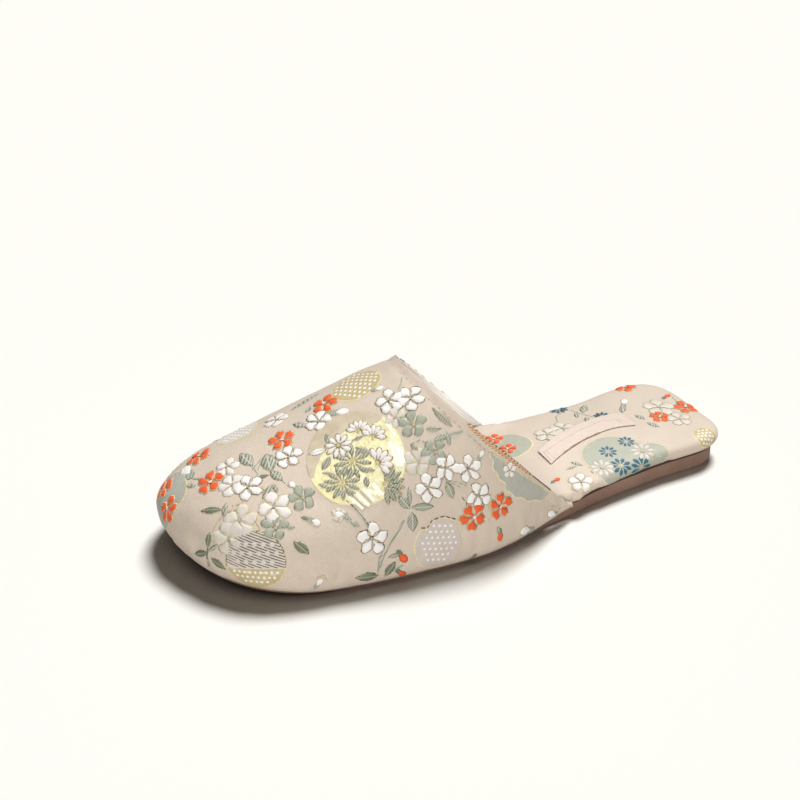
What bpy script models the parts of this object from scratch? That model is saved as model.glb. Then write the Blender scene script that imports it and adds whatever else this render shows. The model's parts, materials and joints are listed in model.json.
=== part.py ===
"""A flat brocade mule slipper for the left foot.

The toe points along -Y, the heel along +Y, the outer side of the foot along +X and up is +Z.
The origin is on the floor, under the middle of the slipper's box. The sizes below are in millimetres.
"""
import math

import bmesh
import bpy
import numpy as np

MM = 0.001
GAP = 0.3

# Shoulder of the insole pad behind the upper
PAD_SHOULDER_BACK = 45.0
PAD_SHOULDER_FRONT = 41.5

# Length and floor contact
TOE_Y = -130.5
HEEL_Y = 130.5
SPRING_START_Y = -58.0
TOE_SPRING = 6.0
SPRING_POWER = 1.8

# The upper's wall
WALL = 2.4

# The topline: a sloping plane, bowed forward a little on each side
TOPLINE_Y = 36.25
TOPLINE_Z = 10.0
TOPLINE_SLOPE = 1.055
TOPLINE_BOW = {"outer": 0.6, "inner": 0.5}
TOPLINE_BOW_SCALE = 6.75
HEM_HEIGHT = 0.5
HEM_SHARE = 0.06
WING_START = 0.6

# Plan of the slipper at its widest contour: reach to the outer and to the inner side of the foot
PLAN_COLUMNS = ("y", "outer", "inner")
PLAN_ROWS = (
    (131.0, 29.4, 31.0),
    (100.0, 30.2, 30.4),
    (80.0, 32.2, 29.0),
    (60.0, 35.3, 29.4),
    (45.0, 38.4, 31.0),
    (36.0, 40.6, 33.8),
    (22.0, 44.8, 36.4),
    (5.0, 50.4, 39.4),
    (-15.0, 52.6, 42.6),
    (-35.0, 52.0, 47.0),
    (-55.0, 50.6, 50.4),
    (-75.0, 48.6, 52.4),
    (-95.0, 46.6, 51.8),
    (-131.0, 44.5, 49.0),
)
TOE_TIP_X = -14.0
TOE_ROUND_START = -76.0
TOE_ROUND_POWER = 2.3
HEEL_ROUND_START = 106.0
HEEL_ROUND_POWER = 3.2

# Ridge of the upper: its height above the floor and its place across the foot
RIDGE_COLUMNS = ("y", "z", "x")
RIDGE_ROWS = (
    (60.0, 104.0, 1.5),
    (10.0, 86.0, 1.0),
    (-24.0, 74.4, 0.0),
    (-40.0, 67.0, -1.0),
    (-60.0, 58.4, -3.0),
    (-80.0, 50.4, -5.0),
    (-100.0, 43.6, -7.0),
    (-131.0, 36.0, -14.0),
)
RIDGE_ROUND_START = -94.0
RIDGE_ROUND_POWER = 2.2

# Outsole thickness and insole thickness along the foot
LAYER_COLUMNS = ("y", "outsole", "insole")
LAYER_ROWS = (
    (131.0, 7.5, 7.4),
    (60.0, 7.0, 6.8),
    (42.0, 6.0, 6.6),
    (30.0, 4.4, 7.0),
    (15.0, 2.8, 7.0),
    (-10.0, 2.2, 6.0),
    (-131.0, 2.2, 4.6),
)

# Edges, measured from the plan: how far the upper drops and tucks under below its widest contour,
# and how far in the outsole and the insole pad end. The pad has a shoulder just behind the upper.
EDGE_COLUMNS = ("y", "drop", "tuck", "sole_inset", "pad_inset")
EDGE_ROWS = (
    (131.0, 6.0, 0.6, 1.6, 0.0),
    (PAD_SHOULDER_BACK, 6.0, 0.6, 1.8, 0.0),
    (PAD_SHOULDER_FRONT, 6.0, 0.6, 1.8, 3.6),
    (15.0, 6.0, 1.8, 3.8, 4.6),
    (-80.0, 6.0, 1.8, 3.8, 4.6),
    (-131.0, 10.0, 4.0, 5.0, 6.6),
)
OUTSOLE_EDGE = 0.9

# Insole pad: rounded edge, from its underside to its top, and the crown of its top
PAD_RING_COLUMNS = ("inset", "height")
PAD_RING_ROWS = (
    (2.4, 0.0),
    (0.7, 0.14),
    (0.0, 0.42),
    (0.5, 0.70),
    (1.9, 0.90),
    (4.6, 1.0),
)
PAD_CROWN = 2.2
PAD_CROWN_RUN = 34.0

# Blank label sewn on the insole: its two long edges
LABEL_COLUMNS = ("y", "outer", "inner")
LABEL_ROWS = (
    (42.0, 16.6, 5.0),
    (55.0, 10.6, -1.4),
    (68.0, 6.4, -5.4),
    (82.0, 4.6, -7.4),
    (93.0, 7.0, -5.6),
)
LABEL_THICK = 0.5

# Finish of each piece: colour and roughness
FINISH = {
    "upper": ("upper_brocade", (0.60, 0.50, 0.40), 0.62),
    "insole": ("insole_brocade", (0.80, 0.70, 0.59), 0.70),
    "outsole": ("outsole_rubber", (0.19, 0.10, 0.07), 0.60),
    "label": ("label_cloth", (0.86, 0.72, 0.66), 0.75),
}

# Sampling
STATIONS = 28
ARCH_STEPS = 14
TUCK_STEPS = 3
OUTLINE_STEPS = 44
SHOULDER_STEPS = 4
PAD_CROSS_STEPS = 8
LABEL_STEPS = 16
LABEL_CROSS_STEPS = 4
HALVINGS = 60


def smooth_step(value):
    """Ease a number from 0 to 1."""
    value = np.clip(value, 0.0, 1.0)
    return value * value * (3.0 - 2.0 * value)


def column(rows, columns, name, at):
    """Read one column of a table anywhere along its first column, on a smooth curve with no overshoot."""
    table = np.array(sorted(rows))
    places = table[:, 0]
    values = table[:, columns.index(name)]
    secants = np.diff(values) / np.diff(places)
    product = secants[1:] * secants[:-1]
    total = np.where(product > 0.0, secants[1:] + secants[:-1], 1.0)
    inner = np.where(product > 0.0, 2.0 * product / total, 0.0)
    slopes = np.concatenate([secants[:1], inner, secants[-1:]])
    at = np.clip(np.asarray(at, dtype=float), places[0], places[-1])
    right = np.clip(np.searchsorted(places, at), 1, len(places) - 1)
    left = right - 1
    span = places[right] - places[left]
    part = (at - places[left]) / span
    start = values[left] * (1 + 2 * part) * (1 - part) ** 2 + slopes[left] * span * part * (1 - part) ** 2
    end = values[right] * (3 - 2 * part) * part**2 + slopes[right] * span * (part - 1) * part**2
    return start + end


def edge(name, y):
    return column(EDGE_ROWS, EDGE_COLUMNS, name, y)


def end_round(y, start, end, power):
    """Share of the full width that is left where an outline rounds off to its end."""
    depth = np.clip((np.asarray(y, dtype=float) - start) / (end - start), 0.0, 1.0)
    return (1.0 - depth**power) ** (1.0 / power)


def floor_height(y):
    """Height of the outsole's underside: flat from the heel to the ball, then the toe spring."""
    share = np.clip((SPRING_START_Y - np.asarray(y, dtype=float)) / (SPRING_START_Y - TOE_Y), 0.0, 1.0)
    return TOE_SPRING * share**SPRING_POWER


def outsole_top(y):
    return floor_height(y) + column(LAYER_ROWS, LAYER_COLUMNS, "outsole", y)


def insole_bottom(y):
    return outsole_top(y) + GAP


def rim_height(y):
    """Height of the upper's widest contour."""
    return outsole_top(y) + GAP + edge("drop", y)


def rim_x(y, side):
    """Sideways place of the upper's widest contour. Both sides meet at the tip of the toe."""
    sign = 1.0 if side == "outer" else -1.0
    reach = sign * column(PLAN_ROWS, PLAN_COLUMNS, side, y)
    full = end_round(y, TOE_ROUND_START, TOE_Y, TOE_ROUND_POWER)
    return TOE_TIP_X * (1.0 - full) + reach * full


def ridge_x(y):
    return column(RIDGE_ROWS, RIDGE_COLUMNS, "x", y)


def ridge_height(y):
    low = rim_height(y)
    full = column(RIDGE_ROWS, RIDGE_COLUMNS, "z", y) - low
    return low + full * end_round(y, RIDGE_ROUND_START, TOE_Y, RIDGE_ROUND_POWER)


def vamp_x(y, z, side):
    """Sideways place of the upper's outside at a given length and height: an arch across the foot."""
    low = rim_height(y)
    share = np.clip((z - low) / np.maximum(ridge_height(y) - low, 1e-6), 0.0, 1.0)
    reach = np.sqrt(1.0 - share**2)
    return ridge_x(y) * (1.0 - reach) + rim_x(y, side) * reach


def topline_height(y):
    return TOPLINE_Z + TOPLINE_SLOPE * (TOPLINE_Y - y)


def crossing(height_of, low, high):
    """Length at which a height curve meets the topline's plane."""
    for _ in range(HALVINGS):
        middle = 0.5 * (low + high)
        if height_of(middle) < topline_height(middle):
            low = middle
        else:
            high = middle
    return 0.5 * (low + high)


def end_spaced(count):
    """Shares from 0 to 1 that crowd together at 0, where the toe rounds off."""
    steps = np.linspace(0.0, 1.0, count + 1)
    return 1.0 - np.cos(steps * math.pi / 2)


def vamp_grid(side):
    """Points of one side of the upper, from toe to topline and from the widest contour up to the ridge."""
    rim_end = crossing(lambda y: float(rim_height(y)), TOE_Y, HEEL_Y)
    throat = crossing(lambda y: float(ridge_height(y)), TOE_Y, HEEL_Y)
    share = end_spaced(STATIONS)
    low_y = TOE_Y + (rim_end - TOE_Y) * share
    top_y = TOE_Y + (throat - TOE_Y) * share
    low_z = rim_height(low_y)
    top_z = ridge_height(top_y)
    rise = np.sin(np.linspace(0.0, math.pi / 2, ARCH_STEPS + 1))
    bow = TOPLINE_BOW[side] * TOPLINE_BOW_SCALE * rise**2 * (1.0 - rise)
    y = low_y[:, None] + (top_y - low_y)[:, None] * rise[None, :] - share[:, None] * bow[None, :]
    z = low_z[:, None] + (top_z - low_z)[:, None] * rise[None, :]
    x = vamp_x(y, z, side)
    x[:, -1] = ridge_x(top_y)
    hem = HEM_HEIGHT * smooth_step((share - 1.0 + HEM_SHARE) / HEM_SHARE)
    side_share = np.cos(np.linspace(0.0, math.pi / 2, ARCH_STEPS + 1))
    x = x + np.sign(rim_x(low_y, side))[:, None] * hem[:, None] * side_share[None, :]
    z = z + hem[:, None] * rise[None, :]
    return np.stack([x, y, z], axis=-1)


def plan_normals(points):
    """Outward directions in plan along an open contour that runs from the outer side round the toe."""
    along = np.gradient(points[:, :2], axis=0)
    along /= np.linalg.norm(along, axis=1)[:, None]
    return np.stack([-along[:, 1], along[:, 0], np.zeros(len(along))], axis=1)


def add_grid(mesh, grid, flip=False):
    """Join rows of vertices with four-sided faces, leaving out corners that coincide."""
    for row_a, row_b in zip(grid[:-1], grid[1:]):
        for i in range(len(row_a) - 1):
            corners = [row_a[i], row_a[i + 1], row_b[i + 1], row_b[i]]
            distinct = list(dict.fromkeys(corners))
            if len(distinct) < 3:
                continue
            if flip:
                distinct.reverse()
            mesh.faces.new(distinct)


def add_points(mesh, points):
    return [mesh.verts.new(np.asarray(point) * MM) for point in points]


def make_material(piece_name):
    name, colour, roughness = FINISH[piece_name]
    material = bpy.data.materials.new(name)
    material.use_nodes = True
    shader = material.node_tree.nodes["Principled BSDF"]
    shader.inputs["Base Color"].default_value = (*colour, 1.0)
    shader.inputs["Roughness"].default_value = roughness
    shader.inputs["Metallic"].default_value = 0.0
    material.diffuse_color = (*colour, 1.0)
    return material


def make_object(name, mesh):
    """Turn a bmesh into a named object with outward faces and its own material."""
    bmesh.ops.recalc_face_normals(mesh, faces=mesh.faces[:])
    data = bpy.data.meshes.new(name)
    mesh.to_mesh(data)
    mesh.free()
    data.materials.append(make_material(name))
    data.shade_smooth()
    piece = bpy.data.objects.new(name, data)
    bpy.context.collection.objects.link(piece)
    return piece


def make_upper():
    """Vamp as one sheet, from the turned-under edge over the ridge, then thickened inwards."""
    outer = vamp_grid("outer")
    inner = vamp_grid("inner")
    mesh = bmesh.new()
    tip = mesh.verts.new(outer[0, 0] * MM)
    ridge = [tip] + add_points(mesh, outer[1:, -1])
    sheets = {}
    for side, points in (("outer", outer), ("inner", inner)):
        rows = [[tip] * (ARCH_STEPS + 1)]
        for station in range(1, STATIONS + 1):
            rows.append(add_points(mesh, points[station, :-1]) + [ridge[station]])
        sheets[side] = rows
        add_grid(mesh, rows, flip=side == "inner")

    # The turned-under edge follows the widest contour from the outer topline end round the toe
    contour = np.concatenate([outer[::-1, 0], inner[1:, 0]])
    contour_verts = [row[0] for row in sheets["outer"][::-1]] + [row[0] for row in sheets["inner"][1:]]
    outward = plan_normals(contour)
    share_back = np.abs(np.linspace(-1.0, 1.0, len(contour)))
    wing = smooth_step((share_back - WING_START) / (1.0 - WING_START))
    side_of = np.where(np.arange(len(contour)) < STATIONS, 1.0, -1.0)
    tuck_rows = [contour_verts]
    for step in range(1, TUCK_STEPS + 1):
        turn = 0.5 * math.pi * step / TUCK_STEPS
        drop = edge("drop", contour[:, 1]) * math.sin(turn)
        tuck = edge("tuck", contour[:, 1]) * (1.0 - math.cos(turn))
        back = wing * drop / TOPLINE_SLOPE
        low_y = contour[:, 1] + back
        widths = {side: rim_x(low_y, side) - rim_x(contour[:, 1], side) for side in ("outer", "inner")}
        points = contour - outward * tuck[:, None]
        points[:, 0] += np.where(side_of > 0.0, widths["outer"], widths["inner"])
        points[:, 1] += back
        floor = outsole_top(points[:, 1]) + GAP
        points[:, 2] = np.maximum(contour[:, 2] - drop, floor) if step < TUCK_STEPS else floor
        tuck_rows.append(add_points(mesh, points))
    add_grid(mesh, tuck_rows)
    upper = make_object("upper", mesh)
    wall = upper.modifiers.new("wall", "SOLIDIFY")
    wall.thickness = WALL * MM
    wall.offset = -1.0
    wall.use_even_offset = True
    wall.use_rim = True
    return upper


def plan_halves():
    """The plan as two matched halves, each from the heel's middle to the toe's tip."""
    turn = np.linspace(0.0, math.pi, OUTLINE_STEPS + 1)
    even = 0.5 * (HEEL_Y + TOE_Y) + 0.5 * (HEEL_Y - TOE_Y) * np.cos(turn)
    shoulder = np.linspace(PAD_SHOULDER_BACK, PAD_SHOULDER_FRONT, SHOULDER_STEPS)
    y = np.sort(np.concatenate([even, shoulder]))[::-1]
    heel_share = end_round(y, HEEL_ROUND_START, HEEL_Y, HEEL_ROUND_POWER)
    return tuple(np.stack([rim_x(y, side) * heel_share, y], axis=1) for side in ("outer", "inner"))


def inset_contour(half_outer, half_inner, distance_at):
    """Move a closed contour inwards along its own directions, by a distance worked out from y."""
    loop = np.concatenate([half_outer, half_inner[-2:0:-1]])
    along = np.roll(loop, -1, axis=0) - np.roll(loop, 1, axis=0)
    along /= np.linalg.norm(along, axis=1)[:, None]
    inward = np.stack([along[:, 1], -along[:, 0]], axis=1)
    moved = loop + inward * distance_at(loop[:, 1])[:, None]
    count = len(half_outer)
    new_outer = moved[:count]
    new_inner = np.concatenate([moved[:1], moved[count:][::-1], moved[count - 1:count]])
    return new_outer, new_inner


def add_rings(mesh, rings):
    """Walls between matched contours. Each ring is a pair of halves that share their end points."""
    made = []
    for outer, inner in rings:
        outer_verts = add_points(mesh, outer)
        inner_verts = [outer_verts[0]] + add_points(mesh, inner[1:-1]) + [outer_verts[-1]]
        made.append((outer_verts, inner_verts))
    for low, high in zip(made[:-1], made[1:]):
        add_grid(mesh, [low[0], high[0]])
        add_grid(mesh, [low[1], high[1]], flip=True)
    return made


def add_cap(mesh, ring, cross_points, flip):
    """Close a ring with a strip across the foot, through inner points where they are given."""
    outer_verts, inner_verts = ring
    rows = [[outer_verts[0]] * (len(cross_points[0]) + 2)]
    for i in range(1, len(outer_verts) - 1):
        rows.append([outer_verts[i]] + add_points(mesh, cross_points[i]) + [inner_verts[i]])
    rows.append([outer_verts[-1]] * (len(cross_points[0]) + 2))
    add_grid(mesh, rows, flip=flip)


def lifted(half, height):
    return np.column_stack([half, height])


def make_outsole():
    """Flat rubber unit with the toe spring and a small rounded lower edge."""
    side = inset_contour(*plan_halves(), lambda y: edge("sole_inset", y))
    low = inset_contour(*plan_halves(), lambda y: edge("sole_inset", y) + OUTSOLE_EDGE)
    rings = [
        tuple(lifted(half, floor_height(half[:, 1])) for half in low),
        tuple(lifted(half, floor_height(half[:, 1]) + OUTSOLE_EDGE) for half in side),
        tuple(lifted(half, outsole_top(half[:, 1])) for half in side),
    ]
    mesh = bmesh.new()
    made = add_rings(mesh, rings)
    empty = [[] for _ in side[0]]
    add_cap(mesh, made[0], empty, flip=True)
    add_cap(mesh, made[-1], empty, flip=False)
    return make_object("outsole", mesh)


def pad_thickness(y):
    return column(LAYER_ROWS, LAYER_COLUMNS, "insole", y)


def pad_crown(y):
    """Crown of the insole's top along its middle, faded out towards both ends."""
    return PAD_CROWN * smooth_step((HEEL_Y - y) / PAD_CROWN_RUN) * smooth_step((y - TOE_Y) / PAD_CROWN_RUN)


def pad_top(x, y):
    """Height of the insole's crowned top between its two edges."""
    inset = edge("pad_inset", y) + PAD_RING_ROWS[-1][0]
    right = rim_x(y, "outer") - inset
    left = rim_x(y, "inner") + inset
    across = np.clip(2.0 * (x - left) / (right - left) - 1.0, -1.0, 1.0)
    return insole_bottom(y) + pad_thickness(y) + pad_crown(y) * (1.0 - across**2)


def make_insole():
    """Soft board with a rounded edge and a crowned top."""
    rings = []
    for inset, height in PAD_RING_ROWS:
        halves = inset_contour(*plan_halves(), lambda y: edge("pad_inset", y) + inset)
        rings.append(tuple(
            lifted(half, insole_bottom(half[:, 1]) + height * pad_thickness(half[:, 1])) for half in halves
        ))
    mesh = bmesh.new()
    made = add_rings(mesh, rings)
    top_outer, top_inner = rings[-1]
    cross_top = []
    cross_low = []
    shares = np.linspace(0.0, 1.0, PAD_CROSS_STEPS + 1)[1:-1]
    for a, b in zip(top_outer, top_inner):
        line = a[None, :] + (b - a)[None, :] * shares[:, None]
        line[:, 2] += pad_crown(line[:, 1]) * (1.0 - (2.0 * shares - 1.0) ** 2)
        cross_top.append(line)
        cross_low.append([])
    add_cap(mesh, made[0], cross_low, flip=True)
    add_cap(mesh, made[-1], cross_top, flip=False)
    return make_object("insole", mesh)


def make_label():
    """Blank band that lies on the crowned insole."""
    y_line = np.linspace(LABEL_ROWS[0][0], LABEL_ROWS[-1][0], LABEL_STEPS + 1)
    outer = column(LABEL_ROWS, LABEL_COLUMNS, "outer", y_line)
    inner = column(LABEL_ROWS, LABEL_COLUMNS, "inner", y_line)
    shares = np.linspace(0.0, 1.0, LABEL_CROSS_STEPS + 1)
    plan_x = outer[:, None] + (inner - outer)[:, None] * shares[None, :]
    plan_y = np.repeat(y_line[:, None], len(shares), axis=1)
    low = pad_top(plan_x, plan_y) + GAP
    mesh = bmesh.new()
    layers = []
    for height in (low, low + LABEL_THICK):
        points = np.stack([plan_x, plan_y, height], axis=-1)
        layers.append([add_points(mesh, row) for row in points])
    bottom, top = layers
    add_grid(mesh, bottom)
    add_grid(mesh, top, flip=True)
    for row_low, row_high in ((bottom[0], top[0]), (bottom[-1], top[-1])):
        add_grid(mesh, [row_low, row_high])
    for index in (0, -1):
        add_grid(mesh, [[row[index] for row in bottom], [row[index] for row in top]])
    return make_object("label", mesh)


def main():
    for old in list(bpy.data.objects):
        bpy.data.objects.remove(old, do_unlink=True)
    make_outsole()
    make_insole()
    make_upper()
    make_label()


main()
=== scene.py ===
# %% [markdown]
# A brocade mule slipper for the left foot.
# The real slipper is a flat rubber sole, a padded insole wrapped in pale brocade, and one
# vamp of flowered brocade that closes over the toes. The frame gives these as plain solids.
# This script dresses them: soft cloth, raised woven flowers, stitches and a studio.

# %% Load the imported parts
import json
import math
import random

import bpy
import numpy as np
from mathutils import Matrix, Vector
from mathutils.bvhtree import BVHTree

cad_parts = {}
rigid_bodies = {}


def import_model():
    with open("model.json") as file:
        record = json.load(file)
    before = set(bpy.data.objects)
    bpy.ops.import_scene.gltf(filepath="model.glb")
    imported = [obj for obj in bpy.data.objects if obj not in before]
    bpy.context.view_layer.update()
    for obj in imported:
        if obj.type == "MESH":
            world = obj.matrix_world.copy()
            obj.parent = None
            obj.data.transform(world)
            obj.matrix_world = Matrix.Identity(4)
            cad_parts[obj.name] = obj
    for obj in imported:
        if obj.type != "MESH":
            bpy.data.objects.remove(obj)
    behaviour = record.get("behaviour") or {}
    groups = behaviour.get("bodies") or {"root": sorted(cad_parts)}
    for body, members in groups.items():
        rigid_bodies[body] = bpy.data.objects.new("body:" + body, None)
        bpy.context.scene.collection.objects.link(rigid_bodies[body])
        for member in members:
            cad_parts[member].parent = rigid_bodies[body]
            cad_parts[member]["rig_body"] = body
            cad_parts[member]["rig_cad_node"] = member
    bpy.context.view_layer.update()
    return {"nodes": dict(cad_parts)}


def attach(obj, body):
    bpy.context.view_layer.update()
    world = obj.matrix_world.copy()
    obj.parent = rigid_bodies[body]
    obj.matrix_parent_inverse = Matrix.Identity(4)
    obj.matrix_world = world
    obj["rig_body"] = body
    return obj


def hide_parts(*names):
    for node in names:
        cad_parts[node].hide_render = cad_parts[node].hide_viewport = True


for startup_object in list(bpy.data.objects):
    bpy.data.objects.remove(startup_object)
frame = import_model()
MM = 0.001
random.seed(11)

# %% [markdown]
# The camera comes first, because the flowers are placed by looking through it: a point of
# the 800 by 800 picture gives a ray, and the ray finds the place on the cloth. Its place,
# target and focal length were fitted to the sole's edge and the heel in the photograph.

# %% Camera
CAMERA_PLACE = Vector((634.7, -343.65, 449.8)) * MM
CAMERA_TARGET = Vector((-58.2, 4.25, 20.0)) * MM
PICTURE_SIDE = 800
FOCAL_PIXELS = 1895.6
SENSOR_WIDTH = 36.0

bpy.ops.object.camera_add(location=CAMERA_PLACE)
camera = bpy.context.object
camera.name = "photo_camera"
camera.data.sensor_width = SENSOR_WIDTH
camera.data.lens = SENSOR_WIDTH * FOCAL_PIXELS / PICTURE_SIDE
looking = (CAMERA_TARGET - CAMERA_PLACE).normalized()
camera.rotation_euler = looking.to_track_quat("-Z", "Y").to_euler()
bpy.context.scene.camera = camera
picture_right = looking.cross(Vector((0, 0, 1))).normalized()
picture_up = picture_right.cross(looking)


def picture_ray(across, down):
    """The direction from the camera through a point of the picture."""
    half = PICTURE_SIDE / 2
    ray = looking * FOCAL_PIXELS + picture_right * (across - half) - picture_up * (down - half)
    return ray.normalized()


print("lens:", round(camera.data.lens, 2), "mm")

# %% [markdown]
# Cloth is thread, so nearly every finish here is the same idea with other numbers: lines of
# thread, a little uneven, lighter on their crowns, with a slight mottle. Two small node
# groups hold that idea, and each material keeps its own Principled shader.

# %% Node groups for thread and mottle
DYE = 0.79
WANDER_SCALE = 0.35
PATCH_EDGES = (0.3, 0.7)


def srgb(red, green, blue):
    """A colour from 0 to 255, in the linear values that shaders use."""
    channels = [value / 255 for value in (red, green, blue)]
    return tuple(c / 12.92 if c <= 0.04045 else ((c + 0.055) / 1.055) ** 2.4 for c in channels) + (1.0,)


def dyed(red, green, blue):
    """The colour of a dyed thread, a little darker, because the light here is set for a white floor."""
    return tuple(value * DYE for value in srgb(red, green, blue)[:3]) + (1.0,)


def new_group(name, inputs, outputs):
    """An empty shader group with named sockets, and its two end nodes."""
    group = bpy.data.node_groups.new(name, "ShaderNodeTree")
    for title, kind, value in inputs:
        group.interface.new_socket(title, in_out="INPUT", socket_type=kind).default_value = value
    for title, kind in outputs:
        group.interface.new_socket(title, in_out="OUTPUT", socket_type=kind)
    return group, group.nodes.new("NodeGroupInput"), group.nodes.new("NodeGroupOutput")


def set_inputs(tree, node, values):
    """Gives a node's inputs their values: a socket is linked, a plain value is set."""
    for key, value in values.items():
        if isinstance(value, bpy.types.NodeSocket):
            tree.links.new(value, node.inputs[key])
        else:
            node.inputs[key].default_value = value


def add_node(tree, kind, values, **settings):
    """A shader node with its settings and the values of its inputs."""
    node = tree.nodes.new(kind)
    for title, setting in settings.items():
        setattr(node, title, setting)
    set_inputs(tree, node, values)
    return node


def math_node(tree, operation, first, second):
    """A Math node whose inputs are sockets or plain numbers; gives back its output."""
    return add_node(tree, "ShaderNodeMath", {0: first, 1: second}, operation=operation).outputs[0]


def make_thread_lines():
    """Height of parallel threads: Across points over the lines and Period is their spacing."""
    group, start, end = new_group(
        "thread_lines",
        [("Point", "NodeSocketVector", (0, 0, 0)), ("Across", "NodeSocketVector", (0, 1, 0)),
         ("Period", "NodeSocketFloat", 1.0), ("Wander", "NodeSocketFloat", 0.2)],
        [("Height", "NodeSocketFloat")])
    point = start.outputs["Point"]
    unevenness = add_node(group, "ShaderNodeTexNoise",
                          {"Vector": point, "Scale": WANDER_SCALE, "Detail": 2.0})
    over = add_node(group, "ShaderNodeVectorMath", {0: point, 1: start.outputs["Across"]},
                    operation="DOT_PRODUCT")
    shift = math_node(group, "MULTIPLY", unevenness.outputs[0], start.outputs["Wander"])
    place = math_node(group, "ADD", over.outputs["Value"], shift)
    turns = math_node(group, "DIVIDE", place, start.outputs["Period"])
    wave = math_node(group, "SINE", math_node(group, "MULTIPLY", turns, math.tau), 0.0)
    height = math_node(group, "ADD", math_node(group, "MULTIPLY", wave, 0.5), 0.5)
    set_inputs(group, end, {"Height": height})
    return group


def make_mottle():
    """A soft patchy mask: Size is the spacing of its patches in millimetres."""
    group, start, end = new_group(
        "mottle",
        [("Point", "NodeSocketVector", (0, 0, 0)), ("Size", "NodeSocketFloat", 4.0)],
        [("Mask", "NodeSocketFloat")])
    fineness = math_node(group, "DIVIDE", 1.0, start.outputs["Size"])
    patches = add_node(group, "ShaderNodeTexNoise",
                       {"Vector": start.outputs["Point"], "Scale": fineness, "Detail": 3.0})
    low, high = PATCH_EDGES
    spread = add_node(group, "ShaderNodeMapRange",
                      {"Value": patches.outputs[0], "From Min": low, "From Max": high})
    set_inputs(group, end, {"Mask": spread.outputs["Result"]})
    return group


thread_lines = make_thread_lines()
mottle = make_mottle()
print("groups:", thread_lines.name, mottle.name)

# %% [markdown]
# Each thread material mixes a light and a dark colour by the thread's height and the mottle,
# and the same height drives a fine bump. Silk has a smoother surface than the ground cloth.
# Dotted outlines break into dark and gold by small cells, as a woven outline does.

# %% Materials of thread
THREAD_ACROSS = (0.05, 0.78, 0.62)
SILK_ACROSS = (0.3, 0.7, -0.65)
THREAD_GLOSS = 0.3
SHEEN_ROUGHNESS = 0.4
DOT_SIZE = 0.8
DOT_EDGES = (0.3, 0.55)


def start_material(name, roughness=0.5):
    """A material with its Principled shader and a point in millimetres on the piece."""
    material = bpy.data.materials.new(name)
    material.use_nodes = True
    tree = material.node_tree
    shader = tree.nodes["Principled BSDF"]
    set_inputs(tree, shader, {"Roughness": roughness})
    place = add_node(tree, "ShaderNodeTexCoord", {})
    point = add_node(tree, "ShaderNodeVectorMath", {0: place.outputs["Object"], "Scale": 1 / MM},
                     operation="SCALE")
    return material, tree, shader, point.outputs[0]


def use_group(tree, group, point, **values):
    """Places a shared group in a material with its own values."""
    return add_node(tree, "ShaderNodeGroup", {"Point": point, **values}, node_tree=group).outputs[0]


def mix_colours(tree, mask, dark, light):
    """The colour between dark and light that a mask asks for."""
    return add_node(tree, "ShaderNodeMix", {0: mask, 6: dark, 7: light}, data_type="RGBA").outputs[2]


def add_bump(tree, shader, height, depth):
    """Lets a height between 0 and 1 shade the surface as relief of a real depth."""
    bump = add_node(tree, "ShaderNodeBump", {"Strength": 1.0, "Distance": depth, "Height": height})
    set_inputs(tree, shader, {"Normal": bump.outputs["Normal"]})


def thread_material(name, light, dark, period=0.5, depth=0.05, roughness=0.5, sheen=0.15,
                    across=SILK_ACROSS, patch=3.0, line_share=0.6):
    """Thread laid in lines, lighter on its crowns."""
    material, tree, shader, point = start_material(name, roughness)
    lines = use_group(tree, thread_lines, point, Across=across, Period=period)
    patches = use_group(tree, mottle, point, Size=patch)
    mask = math_node(tree, "ADD", math_node(tree, "MULTIPLY", lines, line_share),
                     math_node(tree, "MULTIPLY", patches, 1 - line_share))
    add_bump(tree, shader, lines, depth * MM)
    set_inputs(tree, shader, {"Base Color": mix_colours(tree, mask, dark, light), "Sheen Weight": sheen,
                              "Sheen Roughness": SHEEN_ROUGHNESS, "Specular IOR Level": THREAD_GLOSS})
    return material


def dotted_material(name, dot, gap):
    """An outline thread that comes and goes: dots of one colour with another between."""
    material, tree, shader, point = start_material(name)
    cells = add_node(tree, "ShaderNodeTexVoronoi", {"Vector": point, "Scale": 1 / DOT_SIZE})
    low, high = DOT_EDGES
    mask = add_node(tree, "ShaderNodeMapRange",
                    {"Value": cells.outputs["Distance"], "From Min": low, "From Max": high})
    set_inputs(tree, shader, {"Base Color": mix_colours(tree, mask.outputs["Result"], dot, gap),
                              "Specular IOR Level": THREAD_GLOSS})
    return material


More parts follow.
